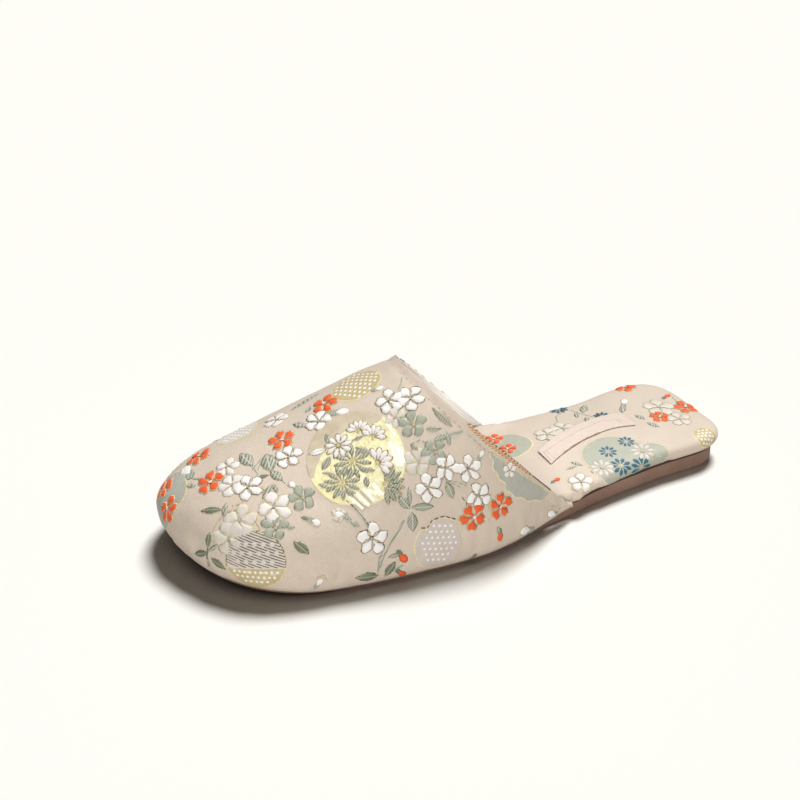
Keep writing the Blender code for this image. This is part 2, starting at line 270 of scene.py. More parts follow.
# %% Dye the threads
HATCHED = dict(period=0.95, line_share=0.85)
SMOOTH = dict(roughness=0.4)
DEEP = dict(depth=0.07)
DYED_THREADS = {
    "ground": ("brocade_ground", (242, 226, 207), (218, 199, 179),
               dict(period=0.82, depth=0.06, roughness=0.6, sheen=0.2, across=THREAD_ACROSS, patch=1.2)),
    "pale": ("pale_silk", (246, 237, 226), (226, 215, 201), {}),
    "sage": ("sage_silk", (206, 209, 188), (152, 161, 139), dict(period=0.65, depth=0.07)),
    "hatch": ("hatched_sage_silk", (216, 216, 196), (118, 126, 104), HATCHED),
    "open_hatch": ("open_hatched_silk", (226, 211, 191), (146, 148, 126), HATCHED),
    "deep": ("deep_green_silk", (148, 158, 136), (96, 110, 90), {}),
    "mist": ("grey_green_silk", (210, 209, 195), (183, 184, 170), {}),
    "grey": ("dull_grey_silk", (236, 222, 210), (214, 200, 188), {}),
    "teal": ("teal_silk", (72, 130, 150), (40, 94, 116), {}),
    "straw": ("pale_gold_thread", (231, 214, 166), (205, 182, 126), SMOOTH),
    "copper": ("copper_thread", (204, 140, 98), (164, 102, 66), SMOOTH),
    "peach": ("peach_thread", (252, 222, 186), (236, 192, 148), SMOOTH),
    "umber": ("umber_thread", (140, 122, 96), (94, 80, 60), {}),
    "brown": ("dark_brown_thread", (108, 90, 72), (66, 54, 44), {}),
    "tan": ("tan_sewing_thread", (212, 188, 162), (182, 156, 130), {}),
    "worn_foil": ("worn_foil", (231, 216, 188), (205, 188, 156),
                  dict(period=0.8, depth=0.08, roughness=0.42, across=THREAD_ACROSS, patch=4.0,
                       line_share=0.3)),
}
BRIGHT_THREADS = {
    "lining": ("ribbed_white_lining", (244, 243, 241), (236, 232, 228),
               dict(period=1.1, depth=0.1, roughness=0.75, across=(0.1, 0.7, 0.7), patch=1.0)),
    "white": ("white_silk", (245, 244, 240), (236, 230, 224), DEEP),
    "soft_white": ("soft_white_silk", (236, 230, 224), (223, 215, 208), {}),
    "orange": ("orange_silk", (242, 108, 48), (222, 80, 34), DEEP),
    # A near-white thread used only as painted highlight on the foil, standing in for its glare.
    "painted_highlight": ("bright_foil", (255, 255, 246), (252, 250, 226), dict(depth=0.03, roughness=0.3, patch=2.0)),
}
DOTTED_THREADS = {
    "dark_dots": ("dark_dotted_outline", (98, 88, 66), (222, 207, 168)),
    "gold_dots": ("gold_dotted_outline", (232, 212, 124), (246, 234, 200)),
    "soft_dots": ("sage_dotted_outline", (112, 120, 98), (210, 204, 180)),
}
thread = {}
for table, tint in ((DYED_THREADS, dyed), (BRIGHT_THREADS, srgb)):
    for title, (name, light, dark, weave) in table.items():
        thread[title] = thread_material(name, tint(*light), tint(*dark), **weave)
for title, (name, dot, gap) in DOTTED_THREADS.items():
    thread[title] = dotted_material(name, dyed(*dot), dyed(*gap))
print("thread materials:", len(thread))

# %% [markdown]
# The big medallion is woven with flat gilt strips instead of thread. Foil is metal: it takes
# the room's light, creases sharply, and wears to a dull khaki where it was rubbed.

# %% Gold foil
FOIL_BRIGHT = srgb(244, 239, 200)
FOIL_WORN = srgb(237, 226, 166)
FOIL_CREASE = 0.35
FOIL_METAL = 0.12
RUBBED = 0.42
POLISHED = 0.28


def make_foil():
    """Thin gilt strips, creased and partly worn."""
    material, tree, shader, point = start_material("gold_foil", roughness=0.3)
    worn = use_group(tree, mottle, point, Size=16.0)
    rub = add_node(tree, "ShaderNodeMapRange", {"Value": worn, "To Min": RUBBED, "To Max": POLISHED})
    creases = use_group(tree, mottle, point, Size=3.5)
    strips = use_group(tree, thread_lines, point, Across=THREAD_ACROSS, Period=0.9, Wander=0.5)
    height = math_node(tree, "ADD", creases, math_node(tree, "MULTIPLY", strips, 0.05))
    add_bump(tree, shader, height, FOIL_CREASE * MM)
    set_inputs(tree, shader, {"Base Color": mix_colours(tree, worn, FOIL_WORN, FOIL_BRIGHT),
                              "Roughness": rub.outputs["Result"], "Metallic": FOIL_METAL,
                              "Specular IOR Level": 1.0})
    return material


thread["foil"] = make_foil()
print("foil:", thread["foil"].name)

# %% [markdown]
# The upper is a soft copy of the CAD shell. The copy's triangles are merged and turned back
# into quads, its rim edges are bevelled so that the cloth rolls over, and a Subdivision
# Surface makes it smooth. A Displace modifier with a cloud texture gives the padding's
# slight unevenness, which a perfect shell lacks. Last, the highest corner of the opening
# settles a little, as soft cloth does where nothing holds it up.

# %% Helpers for shaping
def work_on(piece):
    """Deselects everything, then selects one piece and makes it active."""
    bpy.ops.object.select_all(action="DESELECT")
    piece.select_set(True)
    bpy.context.view_layer.objects.active = piece


def copy_of_node(node_name, piece_name):
    """A merged copy of a CAD node with quads, ready to be softened."""
    work_on(frame["nodes"][node_name])
    bpy.ops.object.duplicate()
    piece = bpy.context.object
    piece.name = piece_name
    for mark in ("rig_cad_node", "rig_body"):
        del piece[mark]
    bpy.ops.object.parent_clear(type="CLEAR_KEEP_TRANSFORM")
    piece.data.materials.clear()
    bpy.ops.mesh.customdata_custom_splitnormals_clear()
    bpy.ops.object.mode_set(mode="EDIT")
    bpy.ops.mesh.select_all(action="SELECT")
    bpy.ops.mesh.remove_doubles(threshold=0.01 * MM)
    bpy.ops.mesh.tris_convert_to_quads(face_threshold=math.radians(60), shape_threshold=math.radians(60))
    bpy.ops.object.mode_set(mode="OBJECT")
    bpy.ops.object.shade_smooth()
    return piece


def round_sharp_edges(piece, radius, steps=2, sharper_than=50):
    """Bevels every edge that turns more sharply than an angle."""
    work_on(piece)
    bpy.ops.object.mode_set(mode="EDIT")
    bpy.ops.mesh.select_mode(type="EDGE")
    bpy.ops.mesh.select_all(action="DESELECT")
    bpy.ops.mesh.edges_select_sharp(sharpness=math.radians(sharper_than))
    bpy.ops.mesh.bevel(offset=radius, segments=steps, affect="EDGES", clamp_overlap=True)
    bpy.ops.object.mode_set(mode="OBJECT")


def apply_modifier(piece, kind, **values):
    """Adds a modifier with its values and applies it."""
    work_on(piece)
    modifier = piece.modifiers.new(kind.lower(), kind)
    for title, value in values.items():
        setattr(modifier, title, value)
    bpy.ops.object.modifier_apply(modifier=modifier.name)


def uneven(piece, spacing, height):
    """Gives a padded piece a slight unevenness of a real height."""
    clouds = bpy.data.textures.new("soft_padding", "CLOUDS")
    clouds.noise_scale = spacing
    apply_modifier(piece, "DISPLACE", texture=clouds, texture_coords="LOCAL", strength=height,
                   mid_level=0.5)


# %% Soften the upper
upper = copy_of_node("upper", "brocade_upper")
round_sharp_edges(upper, radius=0.8 * MM)
apply_modifier(upper, "SUBSURF", levels=2, render_levels=2)
uneven(upper, spacing=22 * MM, height=0.8 * MM)
uneven(upper, spacing=7 * MM, height=0.25 * MM)
print("upper faces:", len(upper.data.polygons))

# %% Let the edge settle
SETTLED_PLACE = Vector((-16, -21, 71)) * MM
SETTLED_MOVE = Vector((0, 2.4, -2.4)) * MM
SETTLED_REACH = 16 * MM


def settle(piece, place, move, reach):
    """Draws the cloth near a place along a move, less and less with the distance."""
    for vertex in piece.data.vertices:
        gap = (vertex.co - place).length
        vertex.co += move * math.exp(-(gap / reach) ** 2)


settle(upper, SETTLED_PLACE, SETTLED_MOVE, SETTLED_REACH)
print("edge settled by", round(SETTLED_MOVE.length / MM, 1), "mm")

# %% [markdown]
# The shell's inner wall is the lining. A face belongs to it when it looks towards a line
# through the middle of the foot, so the two cloths are told apart by direction.

# %% Line the upper
FOOT_LINE_HEIGHT = 20 * MM
FOOT_LINE_TOE = -95 * MM
FOOT_LINE_HEEL = 30 * MM
LINING_TURN = 0.35
LINING_BOTTOM = 9 * MM

upper.data.materials.append(thread["ground"])
upper.data.materials.append(thread["lining"])


def looks_inside(place, normal):
    """How far a face of the upper looks towards the foot, from -1 to 1."""
    along = min(max(place.y, FOOT_LINE_TOE), FOOT_LINE_HEEL)
    inwards = Vector((0, along, FOOT_LINE_HEIGHT)) - place
    return normal.dot(inwards.normalized())


for face in upper.data.polygons:
    inside = face.center.z > LINING_BOTTOM and looks_inside(face.center, face.normal) > LINING_TURN
    face.material_index = int(inside)
lining_faces = sum(face.material_index for face in upper.data.polygons)
print("lining faces:", lining_faces, "of", len(upper.data.polygons))

# %% [markdown]
# A place on the cloth is found by a ray from the camera through a point of the picture. It gives
# a seat: the point, the normal there and a heading along the cloth. A line drawn in the picture
# becomes a path of seats.

# %% Find places on the cloth
SEARCH_STEPS = 40
SEARCH_SHARE = 0.01
VAMP_MIDDLE = (350, 480)
PATH_STEP = 2.0


def seat_from(tree, start, ray, turn, up):
    """Where a ray meets the cloth: the point, its normal, and a heading turned from up."""
    point, normal, _, _ = tree.ray_cast(start, ray)
    if point is None:
        return None
    heading = (up - normal * up.dot(normal)).normalized()
    return point, normal, Matrix.Rotation(math.radians(turn), 3, normal) @ heading


def seen(tree, place, turn=0.0, towards=VAMP_MIDDLE, mirrored=False):
    """The seat of a point of the picture; a point just off the edge moves in until it hits.

    A mirrored look comes from the inner side of the foot, through the same picture turned over."""
    across, down = place
    flip = Vector((-1 if mirrored else 1, 1, 1))
    for _ in range(SEARCH_STEPS):
        ray = picture_ray(across, down) * flip
        seat = seat_from(tree, CAMERA_PLACE * flip, ray, turn, picture_up * flip)
        if seat:
            return seat
        across += (towards[0] - across) * SEARCH_SHARE
        down += (towards[1] - down) * SEARCH_SHARE
    raise ValueError(f"nothing is seen at {place}")


def cloth_tree(piece):
    """A search tree of a piece's faces, for finding places on it."""
    return BVHTree.FromObject(piece, bpy.context.evaluated_depsgraph_get())


def picture_path(tree, points, mirrored=False):
    """Seats along a line drawn in the picture, a few pixels apart."""
    seats = []
    for (x0, y0), (x1, y1) in zip(points, points[1:]):
        count = max(1, round(math.hypot(x1 - x0, y1 - y0) / PATH_STEP))
        for step in range(count):
            share = step / count
            place = (x0 + (x1 - x0) * share, y0 + (y1 - y0) * share)
            seats.append(seen(tree, place, mirrored=mirrored))
    seats.append(seen(tree, points[-1], mirrored=mirrored))
    return seats


# %% [markdown]
# Two edges need a path of their own: the rolled topline, which carries a stitched groove, and
# the hem, where the cloth is gathered under the sole in small puckers. Each path is read from
# the softened mesh: the furthest point in every narrow slice round the foot.

# %% Find the topline and the hem
TOPLINE_NORMAL = Vector((0, 1.055, 1)).normalized()
TOPLINE_AXIS = 10 * MM
TOPLINE_SLICES = 190
HEM_MIDDLE = -40 * MM
HEM_BAND = 9 * MM
HEM_SLICES = 150
SMOOTH_ROUNDS = 2


def furthest_in_slices(slices, turn_of, reach_of):
    """The furthest point in each slice round the foot, in order and smoothed."""
    best = {}
    for vertex in upper.data.vertices:
        turn = turn_of(vertex.co)
        if turn is None:
            continue
        index = int(turn / math.tau * slices)
        reach = reach_of(vertex.co)
        if index not in best or reach > best[index][0]:
            best[index] = (reach, vertex.co.copy())
    points = [best[index][1] for index in sorted(best)]
    for _ in range(SMOOTH_ROUNDS):
        between = [(a + b * 2 + c) / 4 for a, b, c in zip(points, points[1:], points[2:])]
        points = [points[0], *between, points[-1]]
    return points


def topline_turn(place):
    """The angle of a point round the instep, from the outer wing to the inner one."""
    height = place.z - TOPLINE_AXIS
    return math.atan2(height, place.x) if height > 0 else None


def hem_turn(place):
    """The angle of a low point round the sole, from the inner wing by the toe to the outer one."""
    return math.pi + math.atan2(place.x, HEM_MIDDLE - place.y) if place.z < HEM_BAND else None


topline = furthest_in_slices(TOPLINE_SLICES, topline_turn, lambda place: place.dot(TOPLINE_NORMAL))
hem = furthest_in_slices(HEM_SLICES, hem_turn, lambda place: math.hypot(place.x, place.y - HEM_MIDDLE))


def spaced(points, spacing):
    """Points at an even spacing along a path, each with the direction of the path."""
    chosen = []
    due = 0.0
    for start, end in zip(points, points[1:]):
        length = (end - start).length
        while due < length:
            chosen.append((start.lerp(end, due / length), (end - start).normalized()))
            due += spacing
        due -= length
    return chosen


print("topline points:", len(topline), "hem points:", len(hem))

# %% Walk on the cloth
STRIDE = 1.5 * MM
EDGE_DROP = 1.5
EDGE_OUT = 3


def walk(tree, seat, direction, distance):
    """Walks along the cloth from a seat in short steps; gives the seat at the end."""
    point, normal, heading = seat
    steps = max(1, math.ceil(distance / STRIDE))
    for _ in range(steps):
        direction = (direction - normal * direction.dot(normal)).normalized()
        point, normal, _, _ = tree.find_nearest(point + direction * (distance / steps))
    heading = (heading - normal * heading.dot(normal)).normalized()
    return point, normal, heading


def in_from_topline(tree, inset, spacing):
    """Seats on the outer cloth a little way in from the topline, heading along it."""
    seats = []
    for place, along in spaced(topline, spacing):
        outwards = Vector((place.x, 0, place.z - TOPLINE_AXIS)).normalized()
        beyond = outwards * EDGE_OUT * MM
        point, normal, _, _ = tree.find_nearest(place - TOPLINE_NORMAL * EDGE_DROP * MM + beyond)
        seats.append(walk(tree, (point, normal, along), -TOPLINE_NORMAL, inset - EDGE_DROP * MM))
    return seats


def up_from_hem(tree, place, length, steps=4):
    """A short path up the cloth from a point of the hem."""
    point, normal, _, _ = tree.find_nearest(place)
    up = Vector((0, 0, 1))
    start = walk(tree, (point, normal, picture_right), up, MM)
    return [walk(tree, start, up, length * step / steps) for step in range(steps)]


# %% [markdown]
# The main creases are listed: a path of points on the cloth, a depth and a width. All
# points near the path move in along their normals by a soft bell curve, as a thumb presses
# clay. A negative depth raises a ridge. The groove of the topline and the puckers of the hem
# are pressed in the same way.

# %% Press the creases
SAME_SIDE = 0.2


def press(piece, path, depth, width):
    """Presses a soft trough into the outer cloth along a path of points."""
    count = len(piece.data.vertices)
    places = np.empty(count * 3)
    normals = np.empty(count * 3)
    piece.data.vertices.foreach_get("co", places)
    piece.data.vertices.foreach_get("normal", normals)
    places = places.reshape(-1, 3)
    normals = normals.reshape(-1, 3)
    nearest = np.full(count, np.inf)
    facing = np.zeros(count)
    for point, normal, _ in path:
        gaps = np.linalg.norm(places - np.array(point), axis=1)
        closer = gaps < nearest
        nearest[closer] = gaps[closer]
        facing[closer] = (normals @ np.array(normal))[closer]
    bell = np.exp(-(nearest / width) ** 2) * (facing > SAME_SIDE)
    places -= normals * (bell * depth)[:, None]
    piece.data.vertices.foreach_set("co", places.ravel())
    piece.data.update()


STITCH_INSET = 5 * MM
STITCH_SPACING = 2.9 * MM
GROOVE_STEP = 1.5 * MM
GROOVE_DEPTH = 0.55 * MM
GROOVE_WIDTH = 1.3 * MM
PUCKER_SPACING = 7 * MM
PUCKER_LENGTHS = (3, 8)
PUCKER_DEPTHS = (0.15, 0.6)
PUCKER_WIDTHS = (1.2, 2.4)
CREASES = [
    ([(196, 545), (214, 552), (232, 556)], 0.6, 4.0),
    ([(300, 574), (312, 582), (318, 588)], 0.7, 3.5),
    ([(340, 566), (352, 576), (356, 582)], 0.5, 3.5),
    ([(452, 540), (466, 548), (474, 556)], 0.5, 4.0),
    ([(180, 520), (190, 532), (196, 542)], 0.5, 4.0),
    ([(318, 500), (345, 505), (372, 500)], 0.5, 5.0),
    ([(470, 470), (494, 492), (510, 512)], 0.4, 5.0),
    ([(560, 500), (566, 508), (568, 512)], 0.6, 2.5),
    ([(416, 480), (424, 505), (420, 530)], -0.4, 6.0),
    ([(250, 540), (285, 545), (320, 545)], -0.4, 7.0),
]
plain_tree = cloth_tree(upper)
for points, depth, width in CREASES:
    press(upper, picture_path(plain_tree, points), depth * MM, width * MM)
groove = in_from_topline(plain_tree, STITCH_INSET, GROOVE_STEP)
press(upper, groove, GROOVE_DEPTH, GROOVE_WIDTH)
for place, _ in spaced(hem, PUCKER_SPACING):
    pucker = up_from_hem(plain_tree, place, random.uniform(*PUCKER_LENGTHS) * MM)
    press(upper, pucker, random.uniform(*PUCKER_DEPTHS) * MM, random.uniform(*PUCKER_WIDTHS) * MM)
upper_tree = cloth_tree(upper)
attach(upper, "root")
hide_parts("upper")
print("creases:", len(CREASES))

# %% [markdown]
# The flowers are raised areas of silk. Each kind is modelled once, flat, in millimetres:
# a disc is stretched into a petal, then extruded and drawn in, first for the low outline thread
# and then for the silk pillow, and Poke lifts its crown. Spin copies the petal round the
# flower. The copies are then laid on the cloth.

# %% Model the blossoms
PETAL_POINTS = 12
PETAL_FOOT = 0.3
PETAL_MIDDLE = 0.55
PETAL_END = 0.98
HEART_RISE = 0.2
SEED_POINTS = 6
OUTLINE_RISE = 0.03
PILLOW_STEPS = ((0.95, 0.6), (0.55, 0.35))
CROWN_RISE = 0.1


def pick_points(piece, test):
    """Selects, in edit mode, the points whose place passes a test."""
    bpy.ops.mesh.select_mode(type="VERT")
    bpy.ops.mesh.select_all(action="DESELECT")
    bpy.ops.object.mode_set(mode="OBJECT")
    for vertex in piece.data.vertices:
        vertex.select = test(vertex.co)
    bpy.ops.object.mode_set(mode="EDIT")


def stretch(wide, long, middle=(0, 0, 0)):
    """Stretches what is selected from a middle."""
    bpy.ops.transform.resize(value=(wide, long, 1), center_override=middle)


def give_thread(piece, index):
    """Gives the selected faces one of the piece's threads."""
    piece.active_material_index = index
    bpy.ops.object.material_slot_assign()


def start_motif(threads, points=PETAL_POINTS):
    """A flat disc one unit wide in edit mode, with its threads in slots."""
    bpy.ops.object.select_all(action="DESELECT")
    bpy.ops.mesh.primitive_circle_add(vertices=points, radius=0.5, fill_type="NGON")
    piece = bpy.context.object
    for title in threads:
        piece.data.materials.append(thread[title])
    bpy.ops.object.mode_set(mode="EDIT")
    bpy.ops.mesh.select_all(action="SELECT")
    return piece


def step_in(middle, share, rise):
    """Extrudes the selected face, draws it in towards a middle and lifts it."""
    bpy.ops.mesh.extrude_region_move(TRANSFORM_OT_translate={"value": (0, 0, rise)})
    stretch(share, share, middle)


def raise_middle(piece, middle, lift, rim):
    """Builds a raised thread area from a flat face: a low outline, then a pillow and its crown."""
    bpy.ops.mesh.select_mode(type="FACE")
    bpy.ops.mesh.select_all(action="SELECT")
    step_in(middle, rim, OUTLINE_RISE)
    for share, rise in PILLOW_STEPS:
        step_in(middle, share, lift * rise)
    bpy.ops.mesh.poke(offset=lift * CROWN_RISE)
    bpy.ops.object.mode_set(mode="OBJECT")
    for face in piece.data.polygons:
        face.material_index = int(face.center.z < OUTLINE_RISE)
    bpy.ops.object.mode_set(mode="EDIT")


def take_pattern(piece):
    """Ends edit mode and gives the motif's points, faces and thread names."""
    bpy.ops.object.mode_set(mode="OBJECT")
    mesh = piece.data
    points = [tuple(vertex.co) for vertex in mesh.vertices]
    faces = [tuple(face.vertices) for face in mesh.polygons]
    names = [mesh.materials[face.material_index].name for face in mesh.polygons]
    bpy.data.objects.remove(piece)
    return points, faces, names


def model_blossom(threads, petals=5, length=6.3, width=4.8, foot=0.4, notch=0.6, lift=0.36, gap=0.3,
                  heart=0.7, rim=0.86, sweep=math.tau):
    """A flower seen from above: petals round a small heart, or a fan of them."""
    piece = start_motif(threads)
    bpy.ops.transform.resize(value=(width, length, 1))
    bpy.ops.transform.translate(value=(0, length / 2 + gap, 0))
    pick_points(piece, lambda co: co.y < gap + PETAL_FOOT * length)
    stretch(foot, 1)
    pick_points(piece, lambda co: co.y > gap + PETAL_END * length)
    bpy.ops.transform.translate(value=(0, -notch, 0))
    raise_middle(piece, (0, gap + length * PETAL_MIDDLE, 0), lift, rim)
    bpy.ops.mesh.select_all(action="SELECT")
    bpy.ops.mesh.spin(steps=petals - 1, angle=sweep * (petals - 1) / petals, dupli=True,
                      center=(0, 0, 0), axis=(0, 0, 1))
    bpy.ops.mesh.primitive_circle_add(vertices=SEED_POINTS, radius=heart, fill_type="NGON",
                                      location=(0, 0, lift))
    give_thread(piece, 2)
    bpy.ops.mesh.poke(offset=HEART_RISE)
    return take_pattern(piece)


DAISY = dict(foot=0.45, notch=0.0, heart=0.9)
SLIM = dict(length=6.6, width=2.1, gap=1.0, rim=0.74, lift=0.22, **DAISY)
BROAD = dict(length=5.6, width=2.7, gap=0.6, rim=0.78, **DAISY)
motif = {
    "white": model_blossom(("white", "dark_dots", "soft_dots"), rim=0.84),
    "full": model_blossom(("white", "dark_dots", "soft_dots"), width=5.2, notch=0.35, rim=0.84),
    "gilt": model_blossom(("soft_white", "gold_dots", "mist"), width=5.1),
    "faint": model_blossom(("pale", "gold_dots", "mist"), width=5.2, lift=0.2),
    "orange": model_blossom(("orange", "gold_dots", "white"), width=4.7, notch=0.9, rim=0.83),
    "sage": model_blossom(("sage", "soft_dots", "straw"), width=4.5, notch=0.2),
    "chrysanthemum": model_blossom(("hatch", "dark_dots", "straw"), petals=11, **SLIM),
    "sage_fan": model_blossom(("hatch", "dark_dots", "straw"), petals=8, sweep=math.pi, **SLIM),
    "white_chrysanthemum": model_blossom(("soft_white", "dark_dots", "straw"), petals=9, **BROAD),
    "cream_chrysanthemum": model_blossom(("pale", "gold_dots", "straw"), petals=9, **BROAD),
    "white_fan": model_blossom(("soft_white", "dark_dots", "straw"), petals=6, sweep=math.pi, **BROAD),
    "teal_chrysanthemum": model_blossom(("teal", "mist", "straw"), petals=9, length=4.8, width=2.3,
                                        gap=1.1, lift=0.16, rim=0.9, **DAISY),
}
print("blossoms:", {name: len(pattern[1]) for name, pattern in motif.items()})

# %% [markdown]
# A leaf is the same disc, pinched to points at both ends, with a raised midrib. It is one unit
# long, so that each copy is stretched between the two ends read from the photograph. Buds
# and seeds are smaller still.

# %% Model leaves, buds and seeds
LEAF_WIDTH = 0.52
LEAF_PINCHES = ((-0.1, 0.1, 0.45), (0.1, 0.3, 0.85), (0.7, 0.9, 0.85), (0.9, 1.1, 0.45))
MIDRIB_SIZE = (0.035, 0.78)
BUD_WIDTH = 0.62
BUD_PINCH = 0.55
SEPAL_RADIUS = 0.24
SEPAL_LENGTH = 1.5


def start_drop(threads, width):
    """A flat drop one unit long, from the origin along Y."""
    piece = start_motif(threads)
    bpy.ops.transform.resize(value=(width, 1, 1))
    bpy.ops.transform.translate(value=(0, 0.5, 0))
    return piece


def model_leaf(threads, lift=0.26):
    """A leaf from the origin to one unit along Y, with a midrib."""
    piece = start_drop(threads, LEAF_WIDTH)
    for low, high, pinch in LEAF_PINCHES:
        pick_points(piece, lambda co: low < co.y < high)
        stretch(pinch, 1)
    raise_middle(piece, (0, 0.5, 0), lift, rim=0.86)
    bpy.ops.mesh.primitive_grid_add(x_subdivisions=1, y_subdivisions=4, size=1,
                                    location=(0, 0.5, lift * 1.2))
    stretch(*MIDRIB_SIZE, (0, 0.5, 0))
    give_thread(piece, 2)
    return take_pattern(piece)


def model_bud(threads, lift=0.35):
    """A bud: a drop one unit long with a short sepal at its foot."""
    piece = start_drop(threads, BUD_WIDTH)
    pick_points(piece, lambda co: co.y < 0.3)
    stretch(BUD_PINCH, 1)
    raise_middle(piece, (0, 0.52, 0), lift, rim=0.88)
    bpy.ops.mesh.primitive_circle_add(vertices=SEED_POINTS, radius=SEPAL_RADIUS, fill_type="NGON",
                                      location=(0, 0.02, lift * 0.5))
    stretch(1, SEPAL_LENGTH, (0, 0.02, 0))
    give_thread(piece, 2)
    bpy.ops.mesh.poke(offset=0.15)
    return take_pattern(piece)


def model_seed(title):
    """A small domed dot one unit wide."""
    piece = start_motif((title,), SEED_POINTS)
    bpy.ops.mesh.poke(offset=0.3)
    return take_pattern(piece)


motif["leaf"] = model_leaf(("hatch", "soft_dots", "pale"))
motif["dark_leaf"] = model_leaf(("deep", "dark_dots", "straw"))
motif["open_leaf"] = model_leaf(("open_hatch", "soft_dots", "deep"))
motif["white_leaf"] = model_leaf(("white", "dark_dots", "sage"))
motif["white_bud"] = model_bud(("white", "gold_dots", "sage"))
motif["orange_bud"] = model_bud(("orange", "orange", "deep"))
for title in ("white", "copper", "pale", "tan", "brown", "teal", "sage"):
    motif[title + "_seed"] = model_seed(title)
print("motifs:", len(motif))

# %% [markdown]
# Laying a motif is walking on the cloth: each of its points is a direction and a distance
# from the middle, and the walk takes short steps along the surface, turning with it. So a
# flower bends over the toe and round the rolled edge without being stretched. All copies
# of one family are gathered into one list of points and faces, and become one joined mesh.

# %% Lay motifs on cloth
STEM_JUMP = 4 * MM
STEM_RISE = 0.18
NEAR = 1e-7
LOOSE_SHARE = 0.25
families = {}


def beside(tree, seat, right, ahead):
    """The seat some way to the right and ahead of another, in metres."""
    distance = math.hypot(right, ahead)
    if distance < NEAR:
        return seat
    _, normal, heading = seat
    side = heading.cross(normal)
    return walk(tree, seat, (side * right + heading * ahead) / distance, distance)


def on_cloth(tree, seat, right, ahead, rise):
    """The place some millimetres to the right of a seat, ahead of it and above the cloth."""
    point, normal, _ = beside(tree, seat, right * MM, ahead * MM)
    return point + normal * (rise * MM)


def add_faces(family, points, faces, names):
    """Adds faces to a family of motifs."""
    made = families.setdefault(family, ([], [], []))
    first = len(made[0])
    made[0].extend(points)
    made[1].extend(tuple(first + corner for corner in face) for face in faces)
    made[2].extend(names)


def lay(family, tree, name, seat, width, length, lift, wobble=0.0):
    """Lays a copy of a motif at a seat, stretched by a width and a length, and a little wavy."""
    points, faces, names = motif[name]
    phase = random.uniform(0, math.tau)
    loose = LOOSE_SHARE * wobble
    laid = []
    for x, y, z in points:
        right = x * width + wobble * math.sin(0.9 * y + phase) + random.uniform(-loose, loose)
        ahead = y * length + wobble * math.sin(0.8 * x - phase) + random.uniform(-loose, loose)
        laid.append(on_cloth(tree, seat, right, ahead, z + lift))
    add_faces(family, laid, faces, names)


def lay_flower(family, tree, name, row, lift, wobble=0.0, **look):
    """Lays a flower by its place in the picture, its turn in degrees and its size."""
    across, down, turn, size = row
    lay(family, tree, name, seen(tree, (across, down), turn, **look), size, size, lift, wobble)


def lay_leaves(family, tree, kinds, lift=0.08, mirrored=False):
    """Lays leaves and buds of each kind: a row is its foot and tip in the picture and its fatness."""
    for name, rows in kinds.items():
        for foot, tip, fatness in rows:
            start, normal, _ = seen(tree, foot, mirrored=mirrored)
            end, _, _ = seen(tree, tip, mirrored=mirrored)
            span = end - start
            length = span.length / MM
            heading = (span - normal * span.dot(normal)).normalized()
            lay(family, tree, name, (start, normal, heading), length * fatness, length, lift)


def lay_stem(family, tree, title, points, width, dashes=False, lift=0.12, mirrored=False):
    """Lays a raised line of thread along a line drawn in the picture."""
    seats = picture_path(tree, points, mirrored)
    rails = []
    for index, (point, normal, _) in enumerate(seats):
        ahead = seats[min(index + 1, len(seats) - 1)][0] - seats[max(index - 1, 0)][0]
        side = ahead.cross(normal).normalized() * (width * MM / 2)
        low = normal * (lift * MM)
        rails.append([point - side + low, point + normal * ((lift + STEM_RISE) * MM), point + side + low])
    corners = [corner for rail in rails for corner in rail]
    faces = []
    for index in range(len(rails) - 1):
        jump = (rails[index + 1][1] - rails[index][1]).length
        if jump > STEM_JUMP or (dashes and index % 3 == 2):
            continue
        low = index * 3
        faces += [(low, low + 1, low + 4, low + 3), (low + 1, low + 2, low + 5, low + 4)]
    add_faces(family, corners, faces, [thread[title].name] * len(faces))


def sew_family(family):
    """Makes one mesh piece of all the motifs laid for a family."""
    points, faces, names = families[family]
    mesh = bpy.data.meshes.new(family)
    mesh.from_pydata(points, [], faces)
    used = sorted(set(names))
    for name in used:
        mesh.materials.append(bpy.data.materials[name])
    for face, name in zip(mesh.polygons, names):
        face.material_index = used.index(name)
        face.use_smooth = True
    piece = bpy.data.objects.new(family, mesh)
    bpy.context.scene.collection.objects.link(piece)
    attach(piece, "root")
    print(family, "faces:", len(faces))
    return piece


# %% [markdown]
# The blossoms of the vamp follow the photograph. Each row is a place in the picture, a turn in
# degrees and a size, where 1 is a flower about 11 mm wide.

# %% Blossoms on the vamp
BLOSSOMS = {
    "orange": [(325, 404, 10, 1.0), (282, 440, 30, 1.0), (210.5, 482, 20, 1.05), (168.4, 509.4, 0, 1.0),
               (472.7, 516.7, 40, 1.05), (500.1, 505.9, 10, 1.0), (165, 488, 0, 0.9), (199, 457, 0, 1.0)],
    "white": [(318, 421, 0, 1.0), (288.4, 456.8, 15, 1.0), (248.4, 487.3, 30, 1.05), (389.4, 401, 20, 1.0),
              (410.4, 398, 45, 1.0), (468.9, 468.9, 10, 0.95)],
    "full": [(372.6, 539, 0, 1.1), (429, 488, 20, 1.0), (447, 467.6, 50, 0.9), (479.1, 495.7, 30, 0.95)],
    "gilt": [(227.3, 467.3, 10, 0.9), (230.5, 485, 40, 0.95), (274.7, 507, 25, 1.15), (276, 420, 20, 0.95)],
    "faint": [(240, 521, 0, 1.2), (228.4, 538, 20, 1.2), (417.6, 461.6, 0, 1.0), (396, 418, 30, 0.8),
              (339, 515, 0, 0.5)],
    "sage": [(302, 498, 20, 0.95), (274.7, 527, 0, 0.95), (412.4, 424, 10, 1.0), (434, 452, 30, 0.9)],
}
OVERLAP_LIFT = {"orange": 0.24, "white": 0.16, "full": 0.14, "gilt": 0.1, "faint": 0.04, "sage": 0.06}
PETAL_WOBBLE = 0.45
